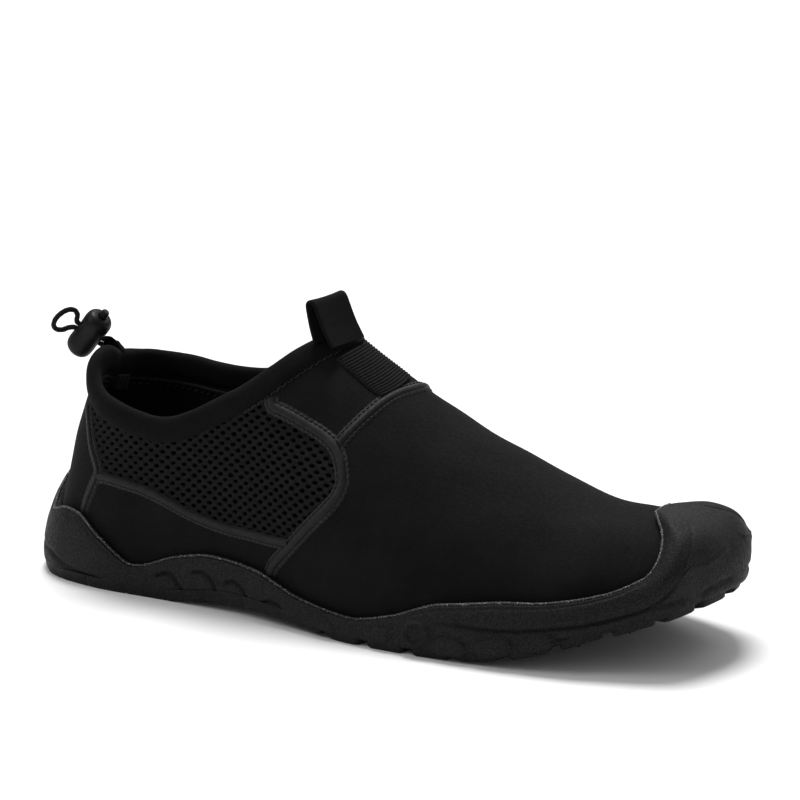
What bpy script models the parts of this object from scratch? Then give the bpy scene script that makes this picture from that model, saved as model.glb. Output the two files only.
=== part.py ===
"""A slip-on water shoe for the right foot, with a stretch upper in a moulded rubber cup sole.

The frame has +X towards the toe, +Y towards the inner (medial) side and +Z up. The origin is the
centre of the heel seat, on the floor. All sizes are in metres.
"""

import math

import bmesh
import bpy
import numpy as np
from mathutils import Matrix, Vector

# Driving sizes of the shoe
SOLE_LENGTH = 0.288
BALL_WIDTH = 0.104
INSTEP_HEIGHT = 0.098
TOE_SPRING = 0.024

# Walls, layers and clearances
UPPER_WALL = 0.0025
RUBBER_WALL = 0.0030
INSOLE_THICKNESS = 0.0035
COLLAR_HEIGHT = 0.0082
COLLAR_THICKNESS = 0.0058
LUG_HEIGHT = 0.0020
CLEARANCE = 0.0003
CURVED_CLEARANCE = 0.0005
WELD = 0.00002

# One row for each section of the upper, from the middle of the heel's back to the tip of the toe.
# along: share of the sole's length, from the heel seat's centre. lateral, medial: shares of the ball
# width, from the shoe's axis to the foot of the wall. seat, crown, top_lateral, top_medial: shares of
# the instep height, of the wall's foot, of the form's top and of the collar's seam on each side.
# peak: share of the instep height, of how much higher a narrow ridge stands along the crown.
# ridge: share of the ball width, of the crown's place towards the medial side. full: the roundness
# of the arch, where 2 is an ellipse. bulge: how far the wall stands out, as a share of the ball
# width. tread: share of the toe spring, of the height of the lugs' underside.
SECTION_COLUMNS = (
    "along", "lateral", "medial", "seat", "crown", "top_lateral", "top_medial", "peak", "ridge",
    "full", "bulge", "tread",
)
SECTIONS = (
    ("heel back", -0.118, 0.000, 0.000, 0.080, 1.000, 0.776, 0.776, 0.000, 0.00, 1.35, 0.000, 0.16),
    ("heel corner", -0.083, 0.211, 0.211, 0.080, 1.040, 0.797, 0.752, 0.000, 0.00, 1.50, 0.004, 0.00),
    ("heel side", 0.000, 0.298, 0.298, 0.080, 1.200, 0.663, 0.726, 0.000, 0.00, 1.90, 0.012, 0.00),
    ("ankle", 0.110, 0.308, 0.288, 0.082, 1.350, 0.610, 0.695, 0.000, 0.02, 2.15, 0.018, 0.00),
    ("waist", 0.220, 0.337, 0.275, 0.095, 1.180, 0.757, 0.759, 0.003, 0.05, 2.20, 0.018, 0.17),
    ("throat", 0.322, 0.390, 0.300, 0.090, 0.940, 0.940, 0.940, 0.043, 0.07, 2.20, 0.018, 0.12),
    ("instep", 0.415, 0.428, 0.350, 0.078, 0.815, 0.815, 0.815, 0.006, 0.08, 2.15, 0.015, 0.00),
    ("lateral ball", 0.503, 0.440, 0.395, 0.072, 0.690, 0.690, 0.690, 0.000, 0.08, 2.10, 0.012, 0.00),
    ("medial ball", 0.597, 0.430, 0.420, 0.080, 0.575, 0.575, 0.575, 0.000, 0.08, 2.10, 0.010, 0.05),
    ("toes", 0.667, 0.400, 0.420, 0.110, 0.507, 0.507, 0.507, 0.000, 0.07, 2.15, 0.010, 0.22),
    ("toe side", 0.726, 0.350, 0.400, 0.160, 0.490, 0.490, 0.490, 0.000, 0.06, 2.20, 0.008, 0.45),
    ("toe corner", 0.813, 0.200, 0.310, 0.258, 0.490, 0.490, 0.490, 0.000, 0.06, 2.20, 0.006, 0.77),
    ("toe tip", 0.848, -0.090, 0.090, 0.285, 0.490, 0.490, 0.490, 0.000, 0.06, 2.20, 0.004, 0.88),
)
HEEL_AXIS_ROW = 2
THROAT_ROW = 5
TOE_AXIS_ROW = 10
LAST_ROW = len(SECTIONS) - 1
COLUMN_UNITS = {
    "along": SOLE_LENGTH,
    "lateral": BALL_WIDTH,
    "medial": BALL_WIDTH,
    "seat": INSTEP_HEIGHT,
    "crown": INSTEP_HEIGHT,
    "top_lateral": INSTEP_HEIGHT,
    "top_medial": INSTEP_HEIGHT,
    "peak": INSTEP_HEIGHT,
    "ridge": BALL_WIDTH,
    "full": 1.0,
    "bulge": BALL_WIDTH,
    "tread": TOE_SPRING,
}
PEAK_POWER = 6
MEDIAL, LATERAL = 1, -1
# Where the meshes have their sections: from a row to a row, in so many steps
SECTION_STEPS = (
    (0, 2, 7), (2, 4, 6), (4, 4.8, 3), (4.8, 5, 3), (5, 10, 10), (10, 10.5, 2), (10.5, 11.25, 5),
    (11.25, 12, 3),
)
UPPER_LEVELS = (0.0, 0.10, 0.25, 0.42, 0.60, 0.80, 1.0)

# The rubber's wave, row by row. lateral, medial: how far up the section it reaches on each side.
# rim, belly, edge: how far its top edge, its foot and its lower edge stand out, in rubber walls.
# crest: how much further its middle stands out.
RUBBER_COLUMNS = ("row", "lateral", "medial", "rim", "belly", "crest", "edge")
RUBBER = (
    (0.0, 0.280, 0.280, 1.4, 1.7, 0.0, 1.6),
    (0.3, 0.240, 0.240, 1.3, 1.7, 0.0, 1.6),
    (0.7, 0.178, 0.178, 1.1, 1.8, 0.0, 1.8),
    (1.3, 0.172, 0.172, 0.8, 1.8, 0.0, 1.9),
    (1.7, 0.140, 0.145, 0.8, 1.6, 0.0, 1.8),
    (2.1, 0.072, 0.085, 0.8, 1.5, 0.0, 1.8),
    (2.6, 0.014, 0.030, 0.8, 1.4, 0.0, 1.8),
    (3.2, 0.036, 0.050, 0.8, 1.4, 0.0, 1.8),
    (3.8, 0.050, 0.075, 0.8, 1.4, 0.0, 1.8),
    (4.4, 0.048, 0.080, 0.8, 1.4, 0.0, 1.8),
    (5.2, 0.018, 0.050, 0.8, 1.4, 0.0, 1.8),
    (6.0, 0.008, 0.020, 0.8, 1.4, 0.0, 1.8),
    (6.7, 0.045, 0.045, 0.8, 1.4, 0.0, 1.8),
    (7.5, 0.132, 0.120, 0.8, 1.5, 0.0, 1.8),
    (8.6, 0.185, 0.175, 0.8, 1.5, 0.0, 1.8),
    (10.2, 0.188, 0.188, 0.8, 1.5, 0.2, 1.2),
    (10.65, 0.238, 0.238, 0.8, 1.3, 0.6, 1.3),
    (10.80, 0.325, 0.325, 0.8, 1.1, 1.0, 1.2),
    (10.95, 0.520, 0.520, 0.8, 0.9, 1.4, 1.0),
    (11.10, 0.770, 0.770, 0.8, 0.8, 1.7, 0.7),
    (11.30, 0.860, 0.860, 0.8, 0.6, 1.5, 0.1),
    (12.0, 0.885, 0.885, 0.8, 0.6, 0.8, -0.4),
)
RUBBER_LEVELS = (0.25, 0.5, 0.75, 0.93, 1.0)
EDGE_ROLL = 0.0012
POD_PITCH = 0.0180
POD_LENGTH = 0.0152
REAR_POD_LENGTH = 0.0172
REAR_PODS_END = 5.5
POD_DEPTH = 0.0125
POD_CORNER = 0.0028
POD_FLAT = 0.55
POD_START = 0.05
LUG_PITCH = 0.0170
LUG_RADIUS = 0.0070
LUG_MARGIN = 0.0205
LUG_REACH = 0.78
HEEL_LUG_RADIUS = 0.0080

# The seams under tapes, each a run of (row, share) places on one side; a share above 1 is past the
# ridge, on the medial side.
TAPE_WIDTH = 0.0038
HEEL_TAPE_WIDTH = 0.0030
TAPE_THICKNESS = 0.0009
TAPE_CROWN = 0.0002
TAPE_GAP = 0.022
FRONT_SEAM = (
    (4.46, 0.484), (4.65, 0.500), (4.90, 0.515), (5.15, 0.522), (5.38, 0.512), (5.53, 0.478),
    (5.62, 0.430), (5.65, 0.395), (5.59, 0.342), (5.44, 0.284), (5.24, 0.222), (5.00, 0.152),
    (4.81, 0.103), (4.68, 0.072),
)
THROAT_SEAM = (
    (5.50, 0.560), (5.60, 0.635), (5.69, 0.713), (5.76, 0.800), (5.82, 0.888), (5.87, 0.963),
    (5.89, 1.040), (5.87, 1.120), (5.82, 1.200), (5.74, 1.287), (5.63, 1.365), (5.50, 1.440),
)
LOWER_SEAM = (
    (2.14, 0.206), (2.50, 0.174), (3.00, 0.136), (3.45, 0.114), (3.95, 0.110), (4.45, 0.122),
    (4.79, 0.136),
)
HEEL_SEAM = (
    (1.62, 0.400), (1.67, 0.378), (1.76, 0.335), (1.86, 0.287), (1.96, 0.250), (2.00, 0.222),
    (1.90, 0.195), (1.80, 0.168),
)
SEAM_STEPS = 2

# The ribbed webbing down the throat: its row, and its edges' shares on the two sides. Its ribs bow
# back towards the collar at their ends, by so many rows.
WEBBING = ((5.05, 0.815, 1.075), (5.30, 0.812, 1.065), (5.70, 0.800, 1.045))
WEBBING_BOW = 0.08
WEBBING_RIBS = 17
WEBBING_THICKNESS = 0.0009
RIB_HEIGHT = 0.0004
WEBBING_STEPS = 3

# The pull loop: its path in the plane of the ridge, from the front ply's foot to the back ply's end,
# as places along the shoe and up, from the top of the throat
LOOP_PATH = (
    (0.0005, 0.0020), (-0.0002, 0.0031), (-0.0012, 0.0048), (-0.0028, 0.0076), (-0.0044, 0.0110),
    (-0.0058, 0.0143), (-0.0070, 0.0170), (-0.0082, 0.0181), (-0.0096, 0.0179), (-0.0101, 0.0164),
    (-0.0095, 0.0133), (-0.0088, 0.0105), (-0.0087, 0.0084), (-0.0096, 0.0066), (-0.0109, 0.0048),
    (-0.0116, 0.0029),
)
LOOP_WIDTH = 0.0190
LOOP_THICKNESS = 0.0013
LOOP_CENTRE = -0.0025
LOOP_YAW = math.radians(-8)
LOOP_TILT = math.radians(3)

# The collar leans back at the heel: the lean at each row, in degrees
COLLAR_LEAN = ((0.0, 18.0), (1.0, 18.0), (2.0, 9.5), (3.0, 0.0))
COLLAR_POINTS = 12
COLLAR_FULL = 2.4

# The drawcord and its lock behind the collar. The lock's axis runs up its barrel.
LOCK_CENTRE = Vector((-0.0225, -0.0020, 0.0896))
LOCK_AXIS = Vector((0.66, 0.0, 0.75)).normalized()
LOCK_HOLE_AXIS = Vector((-0.650, -0.500, 0.572))
BARREL_RADIUS = 0.0053
BARREL_PROFILE = (
    (0.00, -0.0099), (0.45, -0.0097), (0.80, -0.0088), (0.97, -0.0068), (1.00, -0.0038),
    (0.98, 0.0000), (1.00, 0.0038), (1.02, 0.0065), (0.95, 0.0082), (0.75, 0.0094), (0.50, 0.0097),
    (0.00, 0.0097),
)
BARREL_OVAL = 1.12
BORE_RADIUS = 0.0030
BORE_BOTTOM = -0.0073
BORE_TOP = 0.0074
NUB_HOLE_RADIUS = 0.0019
PLUNGER_RADIUS = 0.0027
PLUNGER_BOTTOM = -0.0040
PLUNGER_SHOULDER = 0.0070
NUB_RADIUS = 0.0016
NUB_TOP = 0.0125
NUB_CHAMFER = 0.0006
PLUNGER_TRAVEL = 0.0030
CORD_RADIUS = 0.00095
STRAND_OFFSET = 0.0012
SLOT_HALF_WIDTH = 0.0013
SLOT_HALF_HEIGHT = 0.0025
ROUND_STEPS = 16
# The cord's route: from its exit on the collar, through the lock, around the loop and back. Places
# in the lock are (along the hole, across it, up the barrel); the others are in the shoe's frame.
LOOP_ROUTE = (
    (0.0070, 0.0002, 0.0021), (0.0080, 0.0006, 0.0044), (0.0100, 0.0015, 0.0061),
    (0.0122, 0.0027, 0.0058), (0.0138, 0.0036, 0.0034), (0.0143, 0.0039, -0.0002),
    (0.0134, 0.0034, -0.0034), (0.0114, 0.0023, -0.0050), (0.0092, 0.0011, -0.0045),
    (0.0076, 0.0003, -0.0026),
)
STRAND_REACH = (-0.0056, 0.0, 0.0054)
LOW_STRAND = (
    (-0.0187, 0.0013, 0.0850), (-0.0173, 0.0011, 0.0848), (-0.0160, 0.0002, 0.0855),
    (-0.0142, -0.0011, 0.0861),
)
HIGH_STRAND = (
    (-0.0136, 0.0035, 0.0843), (-0.0141, 0.0032, 0.0857), (-0.0155, 0.0023, 0.0872),
    (-0.0170, 0.0014, 0.0876),
)
CORD_SPACING = 0.0016
CORD_FINENESS = 12

# The step of a slope measured on the upper's face, and the samples of a row or an outline
PROBE = 0.01
SAMPLES = 400


def column(name):
    """One column of SECTIONS, in metres where it is a length."""
    place = 1 + SECTION_COLUMNS.index(name)
    return [row[place] * COLUMN_UNITS[name] for row in SECTIONS]


def through(values, row, before, after):
    """A smooth curve through a column's values, read at a row that need not be whole."""
    run = [before, *values, after]
    i = min(int(math.floor(row)), len(values) - 2)
    f = row - i
    a, b, c, d = run[i : i + 4]
    return b + 0.5 * f * (c - a + f * (2 * a - 5 * b + 4 * c - d + f * (3 * (b - c) + d - a)))


COLUMNS = {name: column(name) for name in SECTION_COLUMNS}


def read(name, row):
    """A column that is the same on both sides, such as the seat or the crown."""
    values = COLUMNS[name]
    return through(values, row, values[1], values[-2])


def half_width(side, row):
    """The wall's foot to one side of the shoe's axis, signed by the side."""
    here, there = ("medial", "lateral") if side == MEDIAL else ("lateral", "medial")
    mine = [side * v for v in COLUMNS[here]]
    other = [-side * v for v in COLUMNS[there]]
    return through(mine, row, other[1], other[-2])


def topline(side, row):
    """The height of the collar's seam."""
    here, there = ("top_medial", "top_lateral") if side == MEDIAL else ("top_lateral", "top_medial")
    return through(COLUMNS[here], row, COLUMNS[there][1], COLUMNS[there][-2])


def surface(side, row, share):
    """A point of the upper's outer face: share goes from 0 at the sole to 1 at the crown."""
    if row < 0:
        side, row = -side, -row
    if row > LAST_ROW:
        side, row = -side, 2 * LAST_ROW - row
    if share > 1:
        side, share = -side, 2 - share
    foot = Vector((read("along", row), half_width(side, row), 0))
    pole_row = min(row, TOE_AXIS_ROW)
    top = Vector((read("along", max(pole_row, HEEL_AXIS_ROW)), read("ridge", pole_row), 0))
    outward = (foot - top).normalized()
    seat, crown, full = read("seat", row), read("crown", pole_row), read("full", row)
    angle = share * math.pi / 2
    inward = 1 - max(math.cos(angle), 0.0) ** (2 / full)
    point = foot + (top - foot) * inward + outward * read("bulge", row) * math.sin(2 * angle)
    rise = max(math.sin(angle), 0.0)
    point.z = seat + (crown - seat) * rise ** (2 / full) + read("peak", pole_row) * rise**PEAK_POWER
    return point


def share_at(row, height):
    """The share of the section at which its face reaches a height."""
    seat, crown = read("seat", row), read("crown", min(row, TOE_AXIS_ROW))
    rise = min(max((height - seat) / (crown - seat), 0.0), 1.0)
    return math.asin(rise ** (read("full", row) / 2)) / (math.pi / 2)


def topline_share(side, row):
    """The share of the section at which the upper ends: 1 where it closes over the foot."""
    return 1.0 if row >= THROAT_ROW else share_at(row, topline(side, row))


def normal(side, row, share):
    """The outward unit normal of the upper's outer face."""
    if abs(share - 1) < PROBE and row > TOE_AXIS_ROW:
        row = TOE_AXIS_ROW
    along = surface(side, row + PROBE, share) - surface(side, row - PROBE, share)
    low = max(share - PROBE, 0.0)
    up = surface(side, row, share + PROBE) - surface(side, row, low)
    found = along.cross(up) * -side
    return found.normalized() if found.length > 1e-12 else Vector((0, 0, 1))


def lifted(side, row, share, lift):
    """A point that stands off the upper's outer face by a lift."""
    return surface(side, row, share) + normal(side, row, share) * lift


def standing(side, row, offset, height):
    """A point at a height, out from the wall's foot by an offset in plan."""
    out = normal(side, row, 0.0)
    out.z = 0
    foot = surface(side, row, 0.0)
    foot.z = 0
    return foot + out.normalized() * offset + Vector((0, 0, height))


def tread(row):
    """The height of the lugs' underside: the heel and the forefoot lie flat on the floor."""
    return max(read("tread", row), 0.0)


def eased(table, place, row):
    """A table's column at a row that need not be listed, without overshoot between its rows."""
    rows = [entry[0] for entry in table]
    values = [entry[place] for entry in table]
    gaps = [(values[i + 1] - values[i]) / (rows[i + 1] - rows[i]) for i in range(len(rows) - 1)]
    slopes = [0.0] * len(rows)
    for i in range(1, len(rows) - 1):
        if gaps[i - 1] * gaps[i] > 0:
            slopes[i] = 2 * gaps[i - 1] * gaps[i] / (gaps[i - 1] + gaps[i])
    i = min(max(int(np.searchsorted(rows, row, side="right")) - 1, 0), len(rows) - 2)
    span = rows[i + 1] - rows[i]
    f = min(max((row - rows[i]) / span, 0.0), 1.0)
    start = values[i] * (1 + 2 * f) * (1 - f) ** 2 + slopes[i] * span * f * (1 - f) ** 2
    end = values[i + 1] * (3 - 2 * f) * f**2 - slopes[i + 1] * span * (1 - f) * f**2
    return start + end


def rubber(name, row):
    """A column of RUBBER, in metres where it is a thickness."""
    value = eased(RUBBER, RUBBER_COLUMNS.index(name), row)
    return value if name in ("lateral", "medial") else value * RUBBER_WALL


def wave(side, row):
    """The share of the section at which the rubber ends."""
    return rubber("medial" if side == MEDIAL else "lateral", row)


def section_rows():
    """The rows at which the meshes have a section, along one side."""
    rows = []
    for first, last, steps in SECTION_STEPS:
        rows += [first + (last - first) * i / steps for i in range(steps)]
    return [*rows, LAST_ROW]


def ring():
    """The sections around the shoe: the lateral side to the toe, then the medial side back."""
    rows = section_rows()
    return [(LATERAL, row) for row in rows] + [(MEDIAL, row) for row in rows[-2:0:-1]]


def paint(name, colour, roughness):
    """A Principled material."""
    material = bpy.data.materials.new(name)
    material.use_nodes = True
    shader = material.node_tree.nodes["Principled BSDF"]
    shader.inputs["Base Color"].default_value = (*colour, 1)
    shader.inputs["Roughness"].default_value = roughness
    return material


def finish(name, points, faces, material):
    """One closed mesh object, with its touching points welded and its faces pointing out."""
    mesh = bpy.data.meshes.new(name)
    mesh.from_pydata([tuple(p) for p in points], [], faces)
    work = bmesh.new()
    work.from_mesh(mesh)
    bmesh.ops.remove_doubles(work, verts=work.verts, dist=WELD)
    bmesh.ops.dissolve_degenerate(work, dist=WELD, edges=work.edges)
    bmesh.ops.recalc_face_normals(work, faces=work.faces)
    work.to_mesh(mesh)
    work.free()
    mesh.materials.append(material)
    mesh.shade_smooth()
    made = bpy.data.objects.new(name, mesh)
    bpy.context.collection.objects.link(made)
    return made


def ring_faces(lines, closed_over):
    """Faces between neighbouring lines of a ring; each line is a loop of points, or open at its end."""
    faces = []
    count = len(lines[0])
    for i in range(len(lines)):
        j = (i + 1) % len(lines)
        for k in range(count):
            if k == count - 1 and closed_over[i] and closed_over[j]:
                continue
            m = (k + 1) % count
            faces.append((i * count + k, j * count + k, j * count + m, i * count + m))
    return faces


def build_upper(material):
    """The upper: one wall, open at the collar and underneath, and closed over the foot in front."""
    lines, closed_over = [], []
    for side, row in ring():
        top = topline_share(side, row)
        outer = [surface(side, row, top * level) for level in UPPER_LEVELS]
        inner = [lifted(side, row, top * level, -UPPER_WALL) for level in UPPER_LEVELS]
        inner[0].z = outer[0].z
        lines.append(inner[::-1] + outer)
        closed_over.append(top == 1.0)
    points = [point for line in lines for point in line]
    return finish("upper", points, ring_faces(lines, closed_over), material)


def ladder(lines, place, count):
    """Faces across a ring of lines, from one side's points to the other's at one place in a line."""
    total = len(lines)
    half = total // 2
    faces = []
    for i in range(half):
        corners = (i, i + 1, (total - i - 1) % total, (total - i) % total)
        run = []
        for corner in corners:
            if corner * count + place not in run:
                run.append(corner * count + place)
        if len(run) > 2:
            faces.append(tuple(run))
    return faces


def rubber_lift(row, level):
    """How far the rubber stands off the upper, at a level between its seat and its top edge."""
    rim, belly = rubber("rim", row), rubber("belly", row)
    crest = rubber("crest", row) * math.sin(math.pi * level)
    return CURVED_CLEARANCE + rim + (belly - rim) * math.sqrt(max(1 - level * level, 0.0)) + crest


def sole_line(side, row):
    """The rubber's section at one row, from its underside up its outer face and down its inner."""
    seat, reach = read("seat", row), wave(side, row)
    base, edge = tread(row) + LUG_HEIGHT, rubber("edge", row)
    line = [
        standing(side, row, edge - EDGE_ROLL, base),
        standing(side, row, edge, base + EDGE_ROLL),
        standing(side, row, max(edge, rubber_lift(row, 0.0)), (base + 2 * seat) / 3),
    ]
    line += [lifted(side, row, reach * level, rubber_lift(row, level)) for level in RUBBER_LEVELS]
    shares = [min(topline_share(side, row) * level, reach) for level in UPPER_LEVELS[1:]]
    line += [lifted(side, row, share, CURVED_CLEARANCE) for share in reversed(shares)]
    line.append(standing(side, row, CURVED_CLEARANCE, seat - CLEARANCE))
    return line


def outline(side, row):
    """A point of the sole's lower outline, in plan, with its outward direction."""
    out = normal(side, row, 0.0)
    out.z = 0
    return standing(side, row, rubber("edge", row), 0.0), out.normalized()


def row_along(x):
    """The row whose sections stand at a distance along the shoe."""
    rows = np.linspace(0, LAST_ROW, SAMPLES)
    return float(np.interp(x, [read("along", row) for row in rows], rows))


def prism(points, root):
    """A lug: its underside follows the tread, and its root stands inside the sole."""
    count = len(points)
    low = [Vector((p.x, p.y, tread(row_along(p.x)))) for p in points]
    high = [Vector((p.x, p.y, q.z + root)) for p, q in zip(points, low)]
    faces = [tuple(range(count)), tuple(range(2 * count - 1, count - 1, -1))]
    faces += [(i, i + count, (i + 1) % count + count, (i + 1) % count) for i in range(count)]
    return low + high, faces


def pod_outlines():
    """The pods along the sole's edge, each a rounded block cut from the outline."""
    rows = np.linspace(POD_START, LAST_ROW - POD_START, SAMPLES)
    for side in (LATERAL, MEDIAL):
        edge = [outline(side, row)[0] for row in rows]
        runs = [0.0]
        for a, b in zip(edge, edge[1:]):
            runs.append(runs[-1] + (b - a).length)
        count = int(runs[-1] / POD_PITCH)
        for i in range(count):
            middle = (i + 0.5) * runs[-1] / count
            rear = float(np.interp(middle, runs, rows)) < REAR_PODS_END
            length, round_off = (REAR_POD_LENGTH, 0.0) if rear else (POD_LENGTH, POD_CORNER)
            shape = []
            for turn, inset, corner in ((1, 0.0, round_off), (-1, POD_DEPTH, -round_off)):
                for share, cut_in in ((-1.0, corner), (-POD_FLAT, 0.0), (POD_FLAT, 0.0), (1.0, corner)):
                    at = middle + turn * share * length / 2
                    place, out = outline(side, float(np.interp(at, runs, rows)))
                    shape.append(place - out * (inset + cut_in))
            yield shape


def lug_outlines():
    """The hexagonal lugs inside the pods, in staggered lines across the heel and the forefoot."""
    lines = int(LUG_REACH * SOLE_LENGTH / LUG_PITCH)
    for line in range(-1, lines):
        x = line * LUG_PITCH
        row = row_along(x)
        low = outline(LATERAL, row)[0].y + LUG_MARGIN
        high = outline(MEDIAL, row)[0].y - LUG_MARGIN
        radius = HEEL_LUG_RADIUS if line == 0 else LUG_RADIUS
        count = int((high - low) / LUG_PITCH) + 1
        if count % 2 == line % 2:
            count -= 1
        for i in range(count):
            y = (low + high) / 2 + (i - (count - 1) / 2) * LUG_PITCH
            turns = [math.tau * k / 6 for k in range(6)]
            yield [Vector((x + radius * math.cos(t), y + radius * math.sin(t), 0)) for t in turns]


def build_sole(material):
    """The cup sole: seat, walls with their wave and toe bumper, and the lugs of the tread."""
    lines = [sole_line(side, row) for side, row in ring()]
    count = len(lines[0])
    points = [point for line in lines for point in line]
    faces = ring_faces(lines, [True] * len(lines))
    faces += ladder(lines, 0, count) + ladder(lines, count - 1, count)
    sole = finish("outsole", points, faces, material)
    points, faces = [], []
    for shape in [*pod_outlines(), *lug_outlines()]:
        some, sides = prism(shape, LUG_HEIGHT + EDGE_ROLL)
        faces += [tuple(i + len(points) for i in face) for face in sides]
        points += some
    lugs = finish("lug_cutter", points, faces, material)
    lugs.hide_render = True
    lugs.display_type = "WIRE"
    union = sole.modifiers.new("lugs", "BOOLEAN")
    union.operation = "UNION"
    union.object = lugs
    union.use_self = True
    return sole


def build_insole(material):
    """The insole, which lies on the sole's seat inside the upper."""
    inset = -(UPPER_WALL + CLEARANCE)
    lines = []
    for side, row in ring():
        seat = read("seat", row)
        top = lifted(side, row, share_at(row, seat + INSOLE_THICKNESS), inset)
        top.z = seat + INSOLE_THICKNESS
        lines.append([standing(side, row, inset, seat), top])
    points = [point for line in lines for point in line]
    faces = ring_faces(lines, [True] * len(lines)) + ladder(lines, 0, 2) + ladder(lines, 1, 2)
    return finish("insole", points, faces, material)


def collar_frames():
    """The collar's path around the opening: its place, and its outward and upward directions."""
    stations = [place for place in ring() if place[1] < THROAT_ROW or place == (LATERAL, THROAT_ROW)]
    places = [lifted(s, r, topline_share(s, r), -UPPER_WALL / 2) for s, r in stations]
    frames = []
    for i, (side, row) in enumerate(stations):
        along = (places[(i + 1) % len(places)] - places[i - 1]).normalized()
        out = normal(side, row, topline_share(side, row))
        up = out.cross(along).normalized()
        out = along.cross(up).normalized()
        lean = math.radians(eased(COLLAR_LEAN, 1, row))
        leaned = up * math.cos(lean) + out * math.sin(lean)
        frames.append((places[i], out * math.cos(lean) - up * math.sin(lean), leaned))
    return frames


def build_collar(material):
    """The padded roll around the opening, swept along the upper's top edge."""
    lines = []
    for place, out, up in collar_frames():
        centre = place + up * (CLEARANCE * 2 + COLLAR_HEIGHT / 2)
        line = []
        for k in range(COLLAR_POINTS):
            angle = math.tau * k / COLLAR_POINTS
            across, along = math.cos(angle), math.sin(angle)
            across = math.copysign(abs(across) ** (2 / COLLAR_FULL), across) * COLLAR_THICKNESS / 2
            along = math.copysign(abs(along) ** (2 / COLLAR_FULL), along) * COLLAR_HEIGHT / 2
            line.append(centre + out * across + up * along)
        lines.append(line)
    points = [point for line in lines for point in line]
    return finish("collar", points, ring_faces(lines, [False] * len(lines)), material)


def strip(name, lines, material):
    """A strip from end to end: each line is a closed loop of points around it."""
    count = len(lines[0])
    faces = []
    for i in range(len(lines) - 1):
        for k in range(count):
            m = (k + 1) % count
            faces.append((i * count + k, (i + 1) * count + k, (i + 1) * count + m, i * count + m))
    last = (len(lines) - 1) * count
    faces += [tuple(range(count)), tuple(range(last + count - 1, last - 1, -1))]
    return finish(name, [point for line in lines for point in line], faces, material)


def slide(side, row, share, move):
    """The (row, share) place that lies a short move away on the upper's face."""
    per_row = (surface(side, row + PROBE, share) - surface(side, row - PROBE, share)) / (2 * PROBE)
    per_share = (surface(side, row, share + PROBE) - surface(side, row, share - PROBE)) / (2 * PROBE)
    slopes = np.array([per_row, per_share]).T
    found = np.linalg.lstsq(slopes, np.array(move), rcond=None)[0]
    return row + float(found[0]), share + float(found[1])


def smooth_run(places, steps):
    """Places along a smooth curve through the given ones."""
    ends = [[2 * a - b for a, b in zip(places[0], places[1])]]
    ends.append([2 * a - b for a, b in zip(places[-1], places[-2])])
    run = []
    for at in np.linspace(0, len(places) - 1, (len(places) - 1) * steps + 1):
        columns = zip(*places)
        run.append([through(list(c), at, ends[0][k], ends[1][k]) for k, c in enumerate(columns)])
    return run


def build_tape(name, side, seam, width, material):
    """A tape over a seam, which follows the upper's face."""
    run = smooth_run(seam, SEAM_STEPS)
    run = [(row, share) for row, share in run if share > wave(side, row) + TAPE_GAP]
    low, high = CLEARANCE, CLEARANCE + TAPE_THICKNESS
    lines = []
    for i, (row, share) in enumerate(run):
        before, after = run[max(i - 1, 0)], run[min(i + 1, len(run) - 1)]
        along = surface(side, *after) - surface(side, *before)
        out = normal(side, row, share)
        across = out.cross(along).normalized() * width / 2
        left, right = slide(side, row, share, across), slide(side, row, share, -across)
        lines.append([
            lifted(side, *left, low), lifted(side, *left, high),
            lifted(side, row, share, high + TAPE_CROWN),
            lifted(side, *right, high), lifted(side, *right, low), lifted(side, row, share, low),
        ])
    return strip(name, lines, material)


def build_webbing(material):
    """The ribbed webbing that covers the throat, between the collar and the throat's seam."""
    lines = []
    for i in range(2 * WEBBING_RIBS + 1):
        row = WEBBING[0][0] + (WEBBING[-1][0] - WEBBING[0][0]) * i / (2 * WEBBING_RIBS)
        left, right = eased(WEBBING, 1, row), eased(WEBBING, 2, row)
        shares = [left + (1 - left) * k / WEBBING_STEPS for k in range(WEBBING_STEPS)]
        shares += [1 + (right - 1) * k / WEBBING_STEPS for k in range(WEBBING_STEPS + 1)]
        lift = CURVED_CLEARANCE + WEBBING_THICKNESS + RIB_HEIGHT * (i % 2)
        middle, half = (left + right) / 2, (right - left) / 2
        run = [(row - WEBBING_BOW * ((share - middle) / half) ** 2, share) for share in shares]
        low = [lifted(LATERAL, *place, CURVED_CLEARANCE) for place in run]
        high = [lifted(LATERAL, *place, lift) for place in run]
        lines.append(low + high[::-1])
    return strip("throat_webbing", lines, material)


def build_pull_loop(material):
    """The webbing loop that straddles the collar at the throat."""
    across = Vector((-math.sin(LOOP_YAW), math.cos(LOOP_YAW), math.tan(LOOP_TILT))).normalized()
    top = surface(LATERAL, THROAT_ROW, 1.0)
    path = [Vector((top.x + x, LOOP_CENTRE, top.z + z)) for x, z in LOOP_PATH]
    lines = []
    for i, place in enumerate(path):
        along = (path[min(i + 1, len(path) - 1)] - path[max(i - 1, 0)]).normalized()
        thick = along.cross(Vector((0, 1, 0))) * LOOP_THICKNESS / 2
        left, right = place - across * LOOP_WIDTH / 2, place + across * LOOP_WIDTH / 2
        lines.append([left + thick, right + thick, right - thick, left - thick])
    return strip("pull_loop", lines, material)


def turned(name, profile, oval, material):
    """A solid turned about Z from (radius, height) places, the first and the last on the axis."""
    lines = []
    for k in range(ROUND_STEPS):
        angle = math.tau * k / ROUND_STEPS
        x, y = math.cos(angle), math.sin(angle) * oval
        lines.append([Vector((r * x, r * y, z)) for r, z in profile])
    points = [point for line in lines for point in line]
    return finish(name, points, ring_faces(lines, [True] * ROUND_STEPS), material)


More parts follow.
